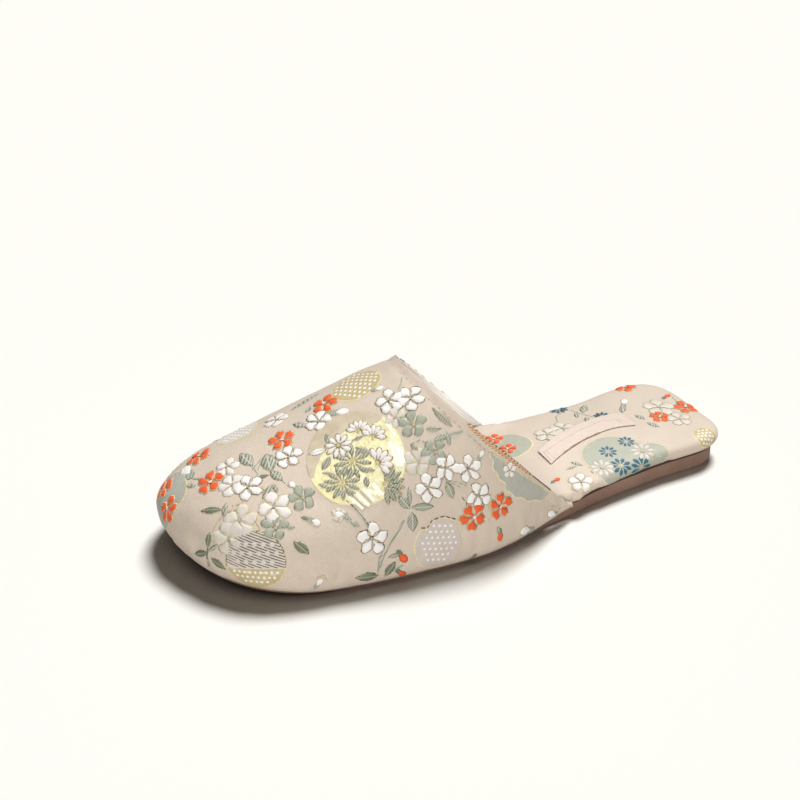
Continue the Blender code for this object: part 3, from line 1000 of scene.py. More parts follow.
for name, rows in BLOSSOMS.items():
    for row in rows:
        lay_flower("vamp_blossoms", upper_tree, name, row, OVERLAP_LIFT[name], PETAL_WOBBLE)
print("blossoms on the vamp:", sum(len(rows) for rows in BLOSSOMS.values()))

# %% [markdown]
# A leaf or a bud needs only its foot, its tip and how fat it is. A stem is a line through a few
# points, with a width, and is dashed where the thread dips under the ground.

# %% Leaves, buds and stems on the vamp
LEAVES = {
    "leaf": [
        ((252.7, 466.4), (239.9, 453.6), 1.0), ((271.2, 472.1), (266.1, 453.6), 1.2),
        ((269.9, 470.8), (282.7, 481), 1.0), ((262.2, 499.5), (273.1, 483.6), 0.7),
        ((273.1, 483.6), (277.6, 493.1), 0.8), ((208.7, 551.2), (217.6, 544.8), 0.7),
        ((208, 557.6), (210, 566.5), 0.6), ((342.6, 515.5), (352, 520), 0.9),
        ((285.8, 527.6), (295.4, 527), 0.8), ((196, 486), (185.7, 486), 0.8),
        ((292.6, 424), (306, 426.6), 0.9), ((305, 413), (314, 405.5), 1.1),
        ((334, 413.5), (341, 411.5), 1.0), ((450, 434), (433.5, 440.6), 0.8),
        ((446, 431), (450, 446), 0.7), ((421, 456), (427.8, 446.3), 0.8),
        ((446.3, 482), (453.3, 498.6), 1.0), ((409.9, 508.8), (398.4, 496), 1.2),
        ((411.2, 507.5), (434, 506.3), 0.7), ((411.8, 512), (413, 531.8), 1.1),
        ((410.5, 505), (408.6, 486), 0.5), ((350, 521.6), (360, 526.7), 0.9),
        ((388, 557.3), (400, 553.5), 0.8), ((497, 526.3), (500, 534), 0.9),
        ((524, 531.5), (533, 530), 0.9), ((290, 411), (320, 393), 0.4),
    ],
    "dark_leaf": [
        ((254, 479.7), (269.9, 474.6), 0.6), ((222.7, 509.7), (200.4, 511), 0.6),
        ((208, 548.6), (210.6, 531.4), 0.9), ((208, 552.4), (194.6, 554.4), 0.7),
        ((210.6, 557.6), (226.5, 569.7), 0.9), ((292.9, 541), (309.4, 554.4), 1.0),
        ((300.5, 516.7), (310.7, 519.9), 0.8), ((379, 575), (355, 578), 0.9),
        ((384.4, 576.4), (395.2, 561), 1.0), ((470, 560), (476.5, 552), 1.0),
    ],
    "open_leaf": [
        ((226, 503), (224, 518), 0.9), ((452.6, 427.2), (431.6, 407.4), 0.6),
        ((441.8, 428.5), (425.2, 429), 0.7), ((410, 443.8), (418.8, 451.4), 0.9),
    ],
}
BUDS = {
    "white_bud": [
        ((310.7, 520), (321, 524.5), 1.0), ((334, 413), (349.5, 411), 1.0), ((374, 390), (384, 387), 1.0),
        ((190, 475), (183, 468), 1.0), ((345, 515), (334, 514), 1.0), ((479, 458), (484, 450), 1.0),
        ((531, 530), (520, 531), 1.0), ((316, 586), (323, 578), 1.0), ((556, 515), (548, 512), 1.0),
        ((296, 488), (289, 482), 1.0),
    ],
    "orange_bud": [
        ((399, 553), (407, 562), 1.0), ((398, 571), (407, 579), 1.0), ((499.5, 531), (500.5, 541), 1.0),
    ],
}
STEMS = [
    ("hatch", [(380, 568), (382, 560), (388, 548), (396, 535), (404.2, 520.3)], 0.9, False),
    ("sage", [(433.5, 440.6), (452, 434), (463, 431)], 1.1, False),
    ("sage", [(398.4, 389), (401, 384), (402, 378)], 0.6, False),
    ("brown", [(346, 500), (358, 511), (369, 525.4)], 0.4, True),
    ("sage", [(352, 504), (362, 516), (368, 527)], 0.5, False),
    ("sage", [(447, 482), (457, 482), (466, 486)], 0.6, True),
    ("hatch", [(378, 572), (379, 560), (382, 552)], 0.9, False),
    ("sage", [(384, 576), (394, 570), (403, 565)], 0.7, False),
    ("sage", [(252.7, 466.4), (258, 474), (254, 480)], 0.6, False),
    ("sage", [(252, 470), (262, 458), (258, 470)], 0.5, False),
    ("sage", [(282.7, 481), (287, 485), (290, 487)], 0.5, True),
    ("deep", [(208, 548), (207, 556), (209, 566)], 0.9, False),
    ("sage", [(190, 475), (194, 479), (199, 479)], 0.6, False),
    ("straw", [(249, 497), (240, 504), (232, 506)], 0.5, True),
    ("straw", [(262, 474), (255, 483), (250, 492)], 0.5, True),
    ("sage", [(430, 486), (440, 478), (462, 488)], 0.5, True),
    ("sage", [(411, 444), (420, 440), (430, 444)], 0.5, True),
    ("straw", [(213, 530), (219, 519), (230, 511), (243, 509)], 0.5, True),
    ("straw", [(252, 518), (259, 526), (261, 536)], 0.5, True),
    ("straw", [(216, 541), (222, 552), (232, 558)], 0.5, True),
    ("straw", [(262, 487), (268, 495), (262, 502)], 0.5, True),
    ("straw", [(420, 470), (428, 476), (437, 474)], 0.5, True),
    ("straw", [(401, 412), (405, 419), (402, 428)], 0.5, True),
    ("straw", [(316, 578), (324, 575), (327, 581)], 0.5, False),
    ("straw", [(552, 505), (560, 509), (566, 505)], 0.5, True),
    ("straw", [(488, 507), (492, 515), (488, 522)], 0.5, True),
    ("umber", [(462, 497), (467, 504), (464, 510)], 0.4, True),
]
lay_leaves("vamp_leaves", upper_tree, LEAVES)
lay_leaves("vamp_blossoms", upper_tree, BUDS)
for title, points, width, dashes in STEMS:
    lay_stem("vamp_leaves", upper_tree, title, points, width, dashes)
print("kinds of leaves:", len(LEAVES), "stems:", len(STEMS))

# %% [markdown]
# The photograph hides the inner side. The same brocade runs on there, so a few more sprays are
# listed, placed through the same picture turned over.

# %% Sprays on the inner side
INNER_BLOSSOMS = [
    ("white", 300, 533, 0, 1.0), ("orange", 322, 545, 20, 1.0), ("gilt", 300, 560, 0, 0.95),
    ("full", 352, 532, 10, 1.05), ("sage", 338, 563, 0, 0.95), ("orange", 452, 505, 0, 1.0),
    ("white", 430, 492, 15, 1.0), ("full", 478, 512, 30, 0.95), ("gilt", 405, 512, 40, 0.95),
    ("sage", 455, 528, 20, 0.95), ("faint", 500, 526, 10, 1.0), ("white", 428, 446, 15, 1.0),
    ("sage", 412, 452, 0, 0.95), ("gilt", 452, 464, 30, 0.95), ("orange", 392, 486, 10, 1.0),
    ("white", 372, 498, 0, 0.95),
]
INNER_LEAVES = {
    "leaf": [
        ((318, 520), (308, 508), 0.9), ((335, 522), (350, 510), 0.9), ((395, 545), (414, 556), 0.8),
        ((276, 560), (262, 568), 0.9), ((470, 538), (486, 528), 0.8), ((402, 464), (390, 470), 0.8),
        ((404, 492), (418, 500), 0.8),
    ],
    "dark_leaf": [((380, 540), (364, 552), 0.8)],
    "open_leaf": [((420, 540), (437, 548), 0.8), ((440, 452), (452, 446), 0.8)],
    "white_bud": [((376, 510), (384, 500), 1.0)],
    "orange_bud": [((430, 560), (438, 566), 1.0)],
}
INNER_STEMS = [
    [(318, 520), (340, 545), (380, 540)], [(380, 540), (410, 532), (440, 540), (470, 538)],
    [(404, 492), (412, 480), (440, 452)],
]
INNER_STEM_WIDTH = 0.8
for name, *row in INNER_BLOSSOMS:
    lay_flower("vamp_blossoms", upper_tree, name, row, OVERLAP_LIFT[name], PETAL_WOBBLE, mirrored=True)
lay_leaves("vamp_leaves", upper_tree, INNER_LEAVES, mirrored=True)
for points in INNER_STEMS:
    lay_stem("vamp_leaves", upper_tree, "sage", points, INNER_STEM_WIDTH, True, mirrored=True)
print("inner blossoms:", len(INNER_BLOSSOMS))

# %% [markdown]
# The round medallions and the cloud are areas of one thread with a drawn edge. Their outline
# is a short list of picture points, taken flat, filled, cut into small triangles by the
# subdivide operator, and laid on the cloth like a motif. Loops add what is woven inside.

# %% Draw areas of thread
RING_ROUNDS = 2
RING_POINTS = 40
AREA_RISE = 0.12


def smooth_ring(points):
    """Rounds a closed outline by cutting its corners."""
    for _ in range(RING_ROUNDS):
        cut = []
        for (x0, y0), (x1, y1) in zip(points, points[1:] + points[:1]):
            cut.append((x0 * 0.75 + x1 * 0.25, y0 * 0.75 + y1 * 0.25))
            cut.append((x0 * 0.25 + x1 * 0.75, y0 * 0.25 + y1 * 0.75))
        points = cut
    return points


def circle_outline(radius, wobble=0.02):
    """A woven circle is never quite round."""
    ring = []
    for step in range(RING_POINTS):
        turn = math.tau * step / RING_POINTS
        reach = radius * (1 + wobble * math.sin(3 * turn + 1) + wobble * math.sin(5 * turn))
        ring.append((reach * math.cos(turn), reach * math.sin(turn)))
    return ring


def lay_area(family, tree, seat, ring, fill, rim, rim_width=0.7, lift=0.05, cell=2.4):
    """Fills an outline with thread and lays it on the cloth, with an outline thread round it."""
    turning = sum(x0 * y1 - x1 * y0 for (x0, y0), (x1, y1) in zip(ring, ring[1:] + ring[:1]))
    ring = ring if turning > 0 else ring[::-1]
    mesh = bpy.data.meshes.new("area")
    mesh.from_pydata([(x, y, 0) for x, y in ring], [], [tuple(range(len(ring)))])
    for title in (fill, rim):
        mesh.materials.append(thread[title])
    piece = bpy.data.objects.new("area", mesh)
    bpy.context.scene.collection.objects.link(piece)
    work_on(piece)
    bpy.ops.object.mode_set(mode="EDIT")
    bpy.ops.mesh.select_mode(type="FACE")
    bpy.ops.mesh.select_all(action="SELECT")
    give_thread(piece, 1)
    bpy.ops.mesh.inset(thickness=rim_width, depth=AREA_RISE)
    give_thread(piece, 0)
    bpy.ops.mesh.quads_convert_to_tris(ngon_method="BEAUTY")
    reach = max(math.hypot(x, y) for x, y in ring)
    bpy.ops.mesh.subdivide(number_cuts=max(1, math.ceil(reach / cell) - 1))
    points, faces, names = take_pattern(piece)
    laid = [on_cloth(tree, seat, x, y, z + lift) for x, y, z in points]
    add_faces(family, laid, faces, names)


def lay_drawn_area(family, tree, middle, outline, fill, rim, **finish):
    """Lays an area whose outline is drawn in the picture round a middle; gives its seat."""
    seat = seen(tree, middle)
    point, normal, heading = seat
    side = heading.cross(normal)
    gaps = [seen(tree, place)[0] - point for place in outline]
    ring = smooth_ring([(gap.dot(side) / MM, gap.dot(heading) / MM) for gap in gaps])
    lay_area(family, tree, seat, ring, fill, rim, **finish)
    return seat


# %% The foil medallion
FOIL_MIDDLE = (356.6, 461.0)
FOIL_OUTLINE = [
    (306, 462), (309, 445), (318, 428), (333, 417), (352, 412), (372, 412), (386, 417), (396, 428),
    (404, 444), (407, 460), (405, 476), (400, 490), (391, 498), (380, 504), (368, 508), (356, 506),
    (343, 507), (330, 502), (318, 492), (310, 480),
]
WORN_OUTLINE = [
    (305.4, 462), (308, 445), (317.4, 427.4), (332.6, 416), (352, 410.8), (372, 410.8), (385, 415.6),
    (376, 425), (352, 427), (340, 435), (327, 447), (318, 462), (314, 480), (308.6, 477),
]
FOIL_FLOWERS = [
    ("white_chrysanthemum", 338.5, 446, 10, 1.0), ("white_fan", 358.5, 431, 85, 0.9),
    ("white_fan", 373, 437, 60, 0.95), ("white_fan", 377, 463, 20, 1.15),
    ("chrysanthemum", 352.5, 462, 5, 1.05), ("chrysanthemum", 342.3, 483, 20, 1.0),
    ("sage_fan", 384, 484, -10, 1.15),
]
FOIL_LEAVES = {
    "white_leaf": [((327, 449.5), (308, 455), 0.8)],
    "open_leaf": [
        ((331, 446), (326, 434), 0.9), ((331, 456.5), (322, 470.6), 0.9), ((355, 447.6), (373, 454), 0.7),
        ((362.7, 469), (375.5, 470.6), 0.8), ((366, 476), (367, 488), 1.0), ((352, 441), (364, 436), 0.6),
    ],
    "leaf": [
        ((330, 488), (318, 484), 0.7), ((348, 490), (334, 496), 0.6), ((346, 490), (356, 494), 0.6),
        ((334, 474), (322, 473), 0.5),
    ],
}
# Streaks on the foil: the near-white ones are painted highlights in place of the foil's glare, and the
# worn_foil ones are beige gaps between the gilt strips.
FOIL_STREAKS = [
    ("painted_highlight", [(349, 496), (357, 503), (363, 509)], 1.3),
    ("worn_foil", [(353, 496), (360, 503), (366, 508)], 1.0),
    ("painted_highlight", [(356, 493), (363, 500), (369, 506)], 1.3),
    ("worn_foil", [(360, 491), (366, 497), (372, 503)], 0.9),
    ("painted_highlight", [(363, 488), (369, 495), (374, 501)], 1.4),
    ("painted_highlight", [(372, 483), (377, 489), (381, 495)], 1.8),
    ("painted_highlight", [(389, 442), (394, 454), (398, 466)], 1.5),
    ("painted_highlight", [(394, 443), (399, 454), (402, 466)], 1.7),
    ("painted_highlight", [(399, 447), (402, 455), (404, 463)], 1.3),
    ("painted_highlight", [(386, 424), (391, 430), (395, 437)], 0.9),
]
FOIL_FLOWER_LIFT = 0.28
FOIL_LEAF_LIFT = 0.3
STREAK_LIFT = 0.2
lay_drawn_area("foil_medallion", upper_tree, FOIL_MIDDLE, FOIL_OUTLINE, "foil", "gold_dots", rim_width=0.5)
lay_drawn_area("foil_medallion", upper_tree, FOIL_MIDDLE, WORN_OUTLINE, "worn_foil", "worn_foil",
               rim_width=0.4, lift=0.14)
for name, *row in FOIL_FLOWERS:
    lay_flower("medallion_flowers", upper_tree, name, row, FOIL_FLOWER_LIFT)
lay_leaves("medallion_flowers", upper_tree, FOIL_LEAVES, FOIL_LEAF_LIFT)
for title, points, width in FOIL_STREAKS:
    lay_stem("foil_medallion", upper_tree, title, points, width, lift=STREAK_LIFT)
print("foil flowers:", len(FOIL_FLOWERS))

# %% The dotted medallions
def lay_dots(family, tree, seat, radius, spacing, size, name="white_seed", lift=0.2, test=None):
    """Sets seeds in staggered rows inside a circle; a test may leave some out."""
    rows = math.ceil(radius / spacing)
    for row in range(-rows, rows + 1):
        for column in range(-rows, rows + 1):
            x = (column + 0.5 * (row % 2)) * spacing
            y = row * spacing
            inside = math.hypot(x, y) < radius - 0.7 * size
            if inside and (test is None or test(x, y)):
                lay(family, tree, name, beside(tree, seat, x * MM, y * MM), size, size, lift)


DOT_WIDTH = 1.5
DOTTED_ROUNDS = [
    ((356, 384), False, "straw", 11.5, 0.7, 11.0, 2.5),
    ((238, 433), False, "pale", 10.0, 0.9, 9.0, 2.4),
    ((254, 553), True, "straw", 11.5, 0.7, 11.0, 2.5),
]
for place, mirrored, fill, radius, rim_width, dots_to, spacing in DOTTED_ROUNDS:
    seat = seen(upper_tree, place, mirrored=mirrored)
    lay_area("dotted_medallions", upper_tree, seat, circle_outline(radius), fill, "gold_dots", rim_width)
    lay_dots("dotted_medallions", upper_tree, seat, dots_to, spacing, DOT_WIDTH)
GREY_MIDDLE = (439.5, 543)
GREY_OUTLINE = [
    (421, 528), (426, 530), (428, 524), (437, 517), (450, 517), (459, 523), (464, 536), (463, 550),
    (454, 562), (444, 567), (430, 568), (418, 566), (413, 552), (414, 540),
]
GREY_TOP = [(421, 528), (427, 528), (432, 520), (444, 516), (455, 519)]
grey_seat = lay_drawn_area("dotted_medallions", upper_tree, GREY_MIDDLE, GREY_OUTLINE, "grey", "gold_dots",
                           rim_width=0.6)
lay_dots("dotted_medallions", upper_tree, grey_seat, radius=9.8, spacing=2.6, size=1.3)
lay_stem("dotted_medallions", upper_tree, "umber", GREY_TOP, width=0.45, dashes=True, lift=0.3)
print("dotted medallions:", len(DOTTED_ROUNDS) + 1)

# %% The lattice medallion at the toe
LATTICE_MIDDLE = (254.7, 562)
LATTICE_RADIUS = 13.0
LATTICE_SPLIT = -2.6
LATTICE_MARGIN = 0.7
ARC_STEPS = 24
lattice_seat = seen(upper_tree, LATTICE_MIDDLE)
lattice_circle = circle_outline(LATTICE_RADIUS, wobble=0.0)
lay_area("lattice_medallion", upper_tree, lattice_seat, lattice_circle, "pale", "dark_dots")
chord_turn = math.asin(-LATTICE_SPLIT / LATTICE_RADIUS)
lower_ring = []
for step in range(ARC_STEPS + 1):
    turn = math.pi + chord_turn + (math.pi - 2 * chord_turn) * step / ARC_STEPS
    lower_ring.append((LATTICE_RADIUS * math.cos(turn), LATTICE_RADIUS * math.sin(turn)))
lay_area("lattice_medallion", upper_tree, lattice_seat, lower_ring, "straw", "gold_dots",
         rim_width=0.5, lift=0.12)
print("lattice radius:", LATTICE_RADIUS, "mm")

# %% Bars and dots of the lattice
BARS = range(-12, 20)
BAR_STEP = 1.15
BAR_SLOPE = -0.35
BAR_WIDTH = 0.42
BAR_LIFT = 0.16
BAR_RISE = 0.12
BAR_PIECE = 1.6
BAR_SAMPLE = 0.25
BAR_SAMPLES = range(-52, 53)
LEAST_SAMPLES = 8
LATTICE_DOTS_TO = 12.2


def lay_bar(start, end):
    """Lays a straight bar of thread between two flat places on the lattice, in millimetres."""
    count = max(1, round(math.dist(start, end) / BAR_PIECE))
    across = Vector((start[1] - end[1], end[0] - start[0])).normalized() * (BAR_WIDTH / 2)
    corners = []
    for step in range(count + 1):
        share = step / count
        x = start[0] + (end[0] - start[0]) * share
        y = start[1] + (end[1] - start[1]) * share
        corners += [on_cloth(upper_tree, lattice_seat, x + across.x * side, y + across.y * side, rise)
                    for side, rise in ((-1, BAR_LIFT), (0, BAR_LIFT + BAR_RISE), (1, BAR_LIFT))]
    faces = []
    for low in range(0, count * 3, 3):
        faces += [(low, low + 3, low + 4, low + 1), (low + 1, low + 4, low + 5, low + 2)]
    add_faces("lattice_medallion", corners, faces, [thread["umber"].name] * len(faces))


for index in BARS:
    height = LATTICE_SPLIT + 1.0 + index * BAR_STEP
    line = [(step * BAR_SAMPLE, height + BAR_SLOPE * step * BAR_SAMPLE) for step in BAR_SAMPLES]
    inside = [place for place in line
              if math.hypot(*place) < LATTICE_RADIUS - LATTICE_MARGIN and place[1] > LATTICE_SPLIT]
    if len(inside) > LEAST_SAMPLES:
        lay_bar(inside[0], inside[-1])
lay_dots("lattice_medallion", upper_tree, lattice_seat, LATTICE_DOTS_TO, spacing=3.6, size=2.3,
         name="pale_seed", lift=0.35, test=lambda x, y: y > LATTICE_SPLIT + 1.2)
lay_dots("lattice_medallion", upper_tree, lattice_seat, LATTICE_DOTS_TO, spacing=2.3, size=1.4,
         lift=0.3, test=lambda x, y: y < LATTICE_SPLIT - 0.8)
print("lattice bars every", BAR_STEP, "mm")

# %% The cloud at the topline and the medallion on the toe's tip
CLOUD_MIDDLE = (519, 484)
CLOUD_OUTLINE = [
    (488.5, 450), (488.5, 457), (492.5, 461), (491, 469), (496, 473), (498, 480), (505, 483), (504, 491),
    (510.5, 493), (514, 499), (521, 497.5), (527, 503), (534, 500), (541, 502.5), (545, 498), (551, 494),
    (546, 488.5), (536, 482), (525, 476), (510, 465.5), (500, 458),
]
CLOUD_BLOSSOM = (509.5, 470, 0, 0.55)
TIP_MIDDLE = (163, 498)
TIP_RADIUS = 14.0
lay_drawn_area("cloud_and_tip", plain_tree, CLOUD_MIDDLE, CLOUD_OUTLINE, "mist", "gold_dots",
               rim_width=0.6, lift=0.08, cell=1.4)
tip_seat = seen(upper_tree, TIP_MIDDLE)
lay_area("cloud_and_tip", upper_tree, tip_seat, circle_outline(TIP_RADIUS), "mist", "gold_dots",
         rim_width=0.6)
lay_flower("vamp_blossoms", plain_tree, "gilt", CLOUD_BLOSSOM, lift=0.3)
for family in ("vamp_blossoms", "vamp_leaves", "foil_medallion", "medallion_flowers", "dotted_medallions",
               "lattice_medallion", "cloud_and_tip"):
    sew_family(family)

# %% [markdown]
# The topline is folded over and sewn 5 mm from the edge. On the outer wing the fold cuts a woven
# rope in two, which leaves slanted copper and peach bars along the edge. Behind them, and on past
# them, a line of dark brown dots is painted shadow where the edge meets the insole. A few bits of
# the flowers beyond show on the far rim.

# %% Sew the topline
ROPE_FROM = 468
ROPE_TO = 532
SHADOW_LINE_TO = 550
ROPE_REACH = 9.0
ROPE_SLOPE = 0.2
ROPE_STEP = 0.95 * MM
ROPE_INSET = 0.3 * MM
ROPE_BARS = (("peach", 1.4), ("copper", 0.8))
ROPE_LIFT = 0.1
STITCH_SIZE = (0.6, 2.1)
STITCH_LIFT = -0.05
SHADOW_LINE_SIZE = (0.8, 2.0)
BIT_SIZE = (1.3, 3.2)
EDGE_LIFT = 0.05
RIM_BITS = [(0.60, "sage"), (0.63, "sage"), (0.67, "tan"), (0.70, "teal"), (0.715, "teal"), (0.74, "sage"),
            (0.77, "sage"), (0.80, "tan"), (0.83, "sage"), (0.87, "copper"), (0.91, "sage")]


def picture_place(point):
    """Where a point of the slipper is seen in the picture, in pixels."""
    gap = point - CAMERA_PLACE
    scale = FOCAL_PIXELS / gap.dot(looking)
    half = PICTURE_SIDE / 2
    return half + gap.dot(picture_right) * scale, half - gap.dot(picture_up) * scale


for seat in in_from_topline(upper_tree, STITCH_INSET, STITCH_SPACING):
    lay("topline_stitches", upper_tree, "tan_seed", seat, *STITCH_SIZE, STITCH_LIFT)
edge_seats = in_from_topline(upper_tree, ROPE_INSET, ROPE_STEP)
for index, seat in enumerate(edge_seats):
    across, down = picture_place(seat[0])
    if seat[0].x < 0 or not ROPE_FROM < across < SHADOW_LINE_TO:
        continue
    # Dark brown dots along the outer edge: painted shadow between the edge and the insole.
    lay("topline_rope", upper_tree, "brown_seed", seat, *SHADOW_LINE_SIZE, EDGE_LIFT)
    if across < ROPE_TO:
        share = (across - ROPE_FROM) / (ROPE_TO - ROPE_FROM)
        reach = ROPE_REACH * math.sin(math.pi * share) ** 0.5
        title, width = ROPE_BARS[index % 2]
        bar = [(across - reach, down - ROPE_SLOPE * reach), (across - 0.8, down + 0.6)]
        lay_stem("topline_rope", upper_tree, title, bar, width, lift=ROPE_LIFT)
for share, title in RIM_BITS:
    seat = edge_seats[int(share * len(edge_seats))]
    lay("topline_rope", upper_tree, title + "_seed", seat, *BIT_SIZE, EDGE_LIFT)
sew_family("topline_stitches")
sew_family("topline_rope")

# %% [markdown]
# The insole is a board with a thin foam and a wrapped cover. The CAD pad is copied, subdivided
# and made slightly uneven. Its front is tucked under the hem, so that no light leaks in below,
# its heel corners are drawn out, and its cover bulges where it is gathered beside the upper. A
# cloth simulation would puff it into a cushion, and the real one is taut, so the relief is
# placed one by one instead.

# %% Soften the insole
INSOLE_CLOTH = dict(period=0.7, depth=0.05, roughness=0.6, across=(0.7, 0.7, 0.1), patch=12.0)
TUCK_END = 36 * MM
TUCK_BLEND = 10 * MM
TUCK_ACROSS = 0.04
TUCK_ALONG = 0.012
SHOULDER_START = 44 * MM
SHOULDER_END = 64 * MM
INNER_EDGE = -29.4 * MM
thread["insole"] = thread_material("cream_insole_cloth", dyed(233, 217, 198), dyed(221, 203, 184),
                                   **INSOLE_CLOTH)
insole = copy_of_node("insole", "brocade_insole")
apply_modifier(insole, "SUBSURF", levels=2, render_levels=2)
uneven(insole, spacing=26 * MM, height=0.5 * MM)
for vertex in insole.data.vertices:
    share = min(max((TUCK_END - vertex.co.y) / TUCK_BLEND, 0), 1)
    vertex.co.x *= 1 + TUCK_ACROSS * share
    vertex.co.y *= 1 + TUCK_ALONG * share
    if SHOULDER_START < vertex.co.y < SHOULDER_END:
        vertex.co.x = max(vertex.co.x, INNER_EDGE)
print("insole faces:", len(insole.data.polygons))

# %% Shape the insole's edge
HEEL_CORNERS = [((-29, 110, 13), (-1.5, 0.0, 0.9), 21), ((19, 130, 12), (0.8, 1.8, 0.0), 11)]
FAR_SHOULDER = [(-30, 31, 13), (-30, 34, 13), (-30, 37, 13)]
SHOULDER_FACING = Vector((-1, 0, 0.3)).normalized()
SHOULDER_BULGE = (-3.4 * MM, 5.5 * MM)
TAIL_LUMP = [(572, 500), (577, 503), (582, 503)]
TAIL_BULGE = (-2.0 * MM, 4 * MM)
INSOLE_PUCKERS = [[(607, 488), (610, 495)], [(642, 470), (645, 478)], [(668, 461), (670, 467)]]
INSOLE_PUCKER = (0.7 * MM, 2.4 * MM)
for place, move, reach in HEEL_CORNERS:
    settle(insole, Vector(place) * MM, Vector(move) * MM, reach * MM)
far_path = [(Vector(place) * MM, SHOULDER_FACING, None) for place in FAR_SHOULDER]
press(insole, far_path, *SHOULDER_BULGE)
press(insole, picture_path(cloth_tree(insole), TAIL_LUMP), *TAIL_BULGE)
for points in INSOLE_PUCKERS:
    press(insole, picture_path(cloth_tree(insole), points), *INSOLE_PUCKER)
insole.data.materials.append(thread["insole"])
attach(insole, "root")
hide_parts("insole")
insole_tree = cloth_tree(insole)
print("insole corners drawn out:", len(HEEL_CORNERS))

# %% [markdown]
# The insole's brocade has the same flowers on grey green roundels. The roundels lie lowest, and
# a little apart in height where two of them cross, and the flowers lie over them.

# %% Flowers on the insole
INSOLE_FLOWERS = [
    ("teal_chrysanthemum", 608, 452, 0, 0.75), ("teal_chrysanthemum", 621, 466, 15, 0.9),
    ("teal_chrysanthemum", 641, 467, 0, 1.0), ("teal_chrysanthemum", 626, 442, 0, 0.7),
    ("cream_chrysanthemum", 602, 468, 0, 1.0), ("cream_chrysanthemum", 642.5, 451.5, 0, 1.0),
    ("orange", 685.5, 407, 20, 1.0), ("orange", 659.5, 417, 0, 0.8), ("orange", 625, 387.5, 0, 0.9),
    ("orange", 494, 439.5, 0, 0.8), ("orange", 508, 449, 0, 0.7), ("faint", 659, 407.3, 0, 1.25),
    ("faint", 679.4, 419, 10, 0.95), ("faint", 547, 434.5, 0, 1.0), ("faint", 562, 428.5, 20, 1.0),
    ("gilt", 581, 482, 0, 0.95), ("teal_chrysanthemum", 601.8, 416.4, 0, 0.7),
    ("teal_chrysanthemum", 558.5, 410, 0, 0.8),
]
INSOLE_TOWARDS = (600, 440)
INSOLE_ROUNDELS = [
    ((654, 453), 7.4, "insole_mist", 0.05), ((618, 458), 16.5, "insole_mist", 0.09),
    ((508, 446), 11.0, "insole_mist", 0.03), ((706, 436), 6.2, "straw", 0.03),
]
ROUNDEL_RIM = 0.5
INSOLE_LEAVES = {
    "leaf": [
        ((634.5, 415), (645.5, 419.5), 0.9), ((646.7, 422.4), (659.4, 427.3), 0.9),
        ((583, 413), (585, 405), 0.9), ((576, 412), (577, 418), 0.7), ((586, 417), (588, 423.5), 0.8),
        ((570, 462), (583.5, 466), 0.6), ((566, 470), (577, 466), 0.5), ((622, 413), (623.5, 405), 0.8),
    ],
    "orange_bud": [((664, 398), (670, 394.5), 0.8), ((553, 482), (560, 478), 0.8)],
    "white_bud": [((623.5, 405), (625, 399), 1.0)],
}
INSOLE_STEMS = [
    [(570, 410), (582, 414), (593, 417)], [(672, 397), (676, 401), (682, 405)],
    [(558, 424), (556, 417), (561, 413)],
]
INSOLE_STEM_WIDTH = 0.6
FLOWER_LIFT = 0.14
LEAF_LIFT = 0.04
thread["insole_mist"] = thread_material("pale_grey_green_silk", dyed(199, 198, 180), dyed(184, 185, 167))
for place, radius, fill, lift in INSOLE_ROUNDELS:
    seat = seen(insole_tree, place, towards=INSOLE_TOWARDS)
    lay_area("insole_medallions", insole_tree, seat, circle_outline(radius), fill, "gold_dots",
             rim_width=ROUNDEL_RIM, lift=lift)
    if fill == "straw":
        lay_dots("insole_medallions", insole_tree, seat, radius=5.8, spacing=2.0, size=1.3, lift=0.12)
for name, *row in INSOLE_FLOWERS:
    lay_flower("insole_flowers", insole_tree, name, row, FLOWER_LIFT, towards=INSOLE_TOWARDS)
lay_leaves("insole_flowers", insole_tree, INSOLE_LEAVES, LEAF_LIFT)
for points in INSOLE_STEMS:
    lay_stem("insole_flowers", insole_tree, "sage", points, INSOLE_STEM_WIDTH, lift=LEAF_LIFT)
sew_family("insole_medallions")
sew_family("insole_flowers")

# %% [markdown]
# The label is a plain woven band with folded edges, sewn on the insole. It carries no words.
# The CAD band keeps its form, its edges are softened and a row of small stitches holds it.

# %% Label
LABEL_LINES = [
    [(543.5, 452.3), (552.5, 461.8), (570.5, 449.9), (588.5, 439.4), (615, 429.4), (633, 427.6)],
    [(633, 427.6), (620.5, 419.2), (600, 421.4), (577, 431.5), (557, 443.5), (543.5, 452.3)],
    [(546.5, 450.5), (555.3, 460)], [(616.5, 419.6), (629.5, 428)],
]
LABEL_STITCH_WIDTH = 0.4
LABEL_STITCH_LIFT = -0.08
thread["tape"] = thread_material("woven_tape", dyed(243, 228, 214), dyed(234, 211, 195), period=0.55,
                                 depth=0.06, across=(0.9, 0.4, 0.0), roughness=0.7)
label = copy_of_node("label", "blank_label")
round_sharp_edges(label, radius=0.15 * MM)
apply_modifier(label, "SUBSURF", levels=1, render_levels=1)
label.data.materials.append(thread["tape"])
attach(label, "root")
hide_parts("label")
label_tree = cloth_tree(label)
for points in LABEL_LINES:
    lay_stem("label_stitches", label_tree, "tan", points, LABEL_STITCH_WIDTH, lift=LABEL_STITCH_LIFT)
sew_family("label_stitches")
print("label faces:", len(label.data.polygons))

# %% [markdown]
# The outsole is hard rubber whose CAD shape is right, so it keeps its mesh and only gets a
# better material: matt brown with a faint moulded grain and paler scuffs.

# %% Outsole rubber
RUBBER_ROUGHNESS = 0.55
GRAIN_DEPTH = 0.05


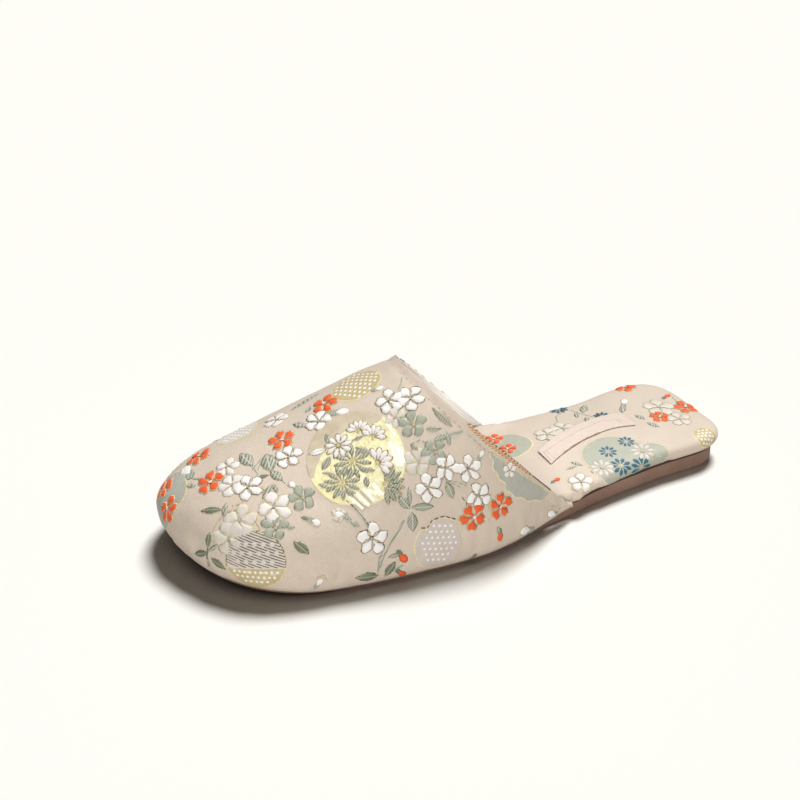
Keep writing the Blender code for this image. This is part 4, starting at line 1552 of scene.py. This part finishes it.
def make_rubber():
    """Matt brown rubber with a fine grain and worn patches."""
    material, tree, shader, point = start_material("brown_rubber", RUBBER_ROUGHNESS)
    scuffs = use_group(tree, mottle, point, Size=14.0)
    colour = mix_colours(tree, scuffs, dyed(138, 106, 90), dyed(158, 126, 109))
    set_inputs(tree, shader, {"Base Color": colour})
    add_bump(tree, shader, use_group(tree, mottle, point, Size=0.6), GRAIN_DEPTH * MM)
    return material


outsole = frame["nodes"]["outsole"]
outsole.data.materials.clear()
outsole.data.materials.append(make_rubber())
print("outsole:", outsole.data.materials[0].name)

# %% [markdown]
# The studio is a wide pale floor, a faint warm sky, a large soft light high behind the slipper
# and a low fill for the near side. Two small lights help: one makes the foil glint, the other
# reaches the white lining. Light linking keeps these three off the floor, as flags do in a
# studio, so the shadow under the slipper stays dark. The floor looks white, but a Light Path
# node lets it throw back less light, as a paper sweep does, so the low sides are not washed out.

# %% Floor and sky
FLOOR_SEEN = srgb(248, 246, 240)
FLOOR_BOUNCE = srgb(198, 194, 188)
FLOOR_SIDE = 8
FLOOR_ROUGHNESS = 0.9
SKY_COLOUR = srgb(255, 252, 246)
SKY_STRENGTH = 0.044
bpy.ops.mesh.primitive_plane_add(size=FLOOR_SIDE)
floor = bpy.context.object
floor.name = "studio_floor"
floor_material, floor_tree, floor_shader, _ = start_material("warm_white_floor", FLOOR_ROUGHNESS)
floor_path = add_node(floor_tree, "ShaderNodeLightPath", {})
floor_colour = mix_colours(floor_tree, floor_path.outputs["Is Camera Ray"], FLOOR_BOUNCE, FLOOR_SEEN)
set_inputs(floor_tree, floor_shader, {"Base Color": floor_colour, "Specular IOR Level": 0.0})
floor.data.materials.append(floor_material)
spared_floor = bpy.data.collections.new("spared_floor")
spared_floor.objects.link(floor)
spared_floor.collection_objects[0].light_linking.link_state = "EXCLUDE"
sky = bpy.data.worlds.new("soft_studio")
sky.use_nodes = True
set_inputs(sky.node_tree, sky.node_tree.nodes["Background"],
           {"Color": SKY_COLOUR, "Strength": SKY_STRENGTH})
bpy.context.scene.world = sky
print("floor side:", FLOOR_SIDE, "m")

# %% Lights
GLINT_PLACE = (394, 453)
LINING_SPOT = Vector((-38, 11, 29)) * MM
CARD_SIDE = Vector((0.75, 0.6, 0.2)).normalized()
CARD_POWER = 34
CARD_ANGLE = 4.2
CARD_RADIUS = 0.02


def soft_light(name, travel, strength, softness):
    """A large even light whose rays travel one way."""
    bpy.ops.object.light_add(type="SUN", location=(0, 0, 2))
    light = bpy.context.object
    light.name = name
    light.data.energy = strength
    light.data.angle = math.radians(softness)
    light.rotation_euler = Vector(travel).to_track_quat("-Z", "Y").to_euler()
    return light


soft_light("soft_key", travel=(0.4, -0.45, -1.0), strength=3.75, softness=20)
fill_light = soft_light("low_side_fill", travel=(-0.85, 0.4, -0.15), strength=2.3, softness=26)
foil_point, foil_normal, _ = seen(upper_tree, GLINT_PLACE)
glint_travel = (foil_point - CAMERA_PLACE).reflect(foil_normal) * -1
glint = soft_light("foil_glint", glint_travel, strength=0.5, softness=8)
bpy.ops.object.light_add(type="SPOT", location=LINING_SPOT + CARD_SIDE)
card = bpy.context.object
card.name = "lining_card"
card.data.energy = CARD_POWER
card.data.spot_size = math.radians(CARD_ANGLE)
card.data.spot_blend = 1.0
card.data.shadow_soft_size = CARD_RADIUS
card.rotation_euler = (-CARD_SIDE).to_track_quat("-Z", "Y").to_euler()
for light in (fill_light, glint, card):
    light.light_linking.receiver_collection = spared_floor
bpy.context.scene.view_settings.view_transform = "Standard"
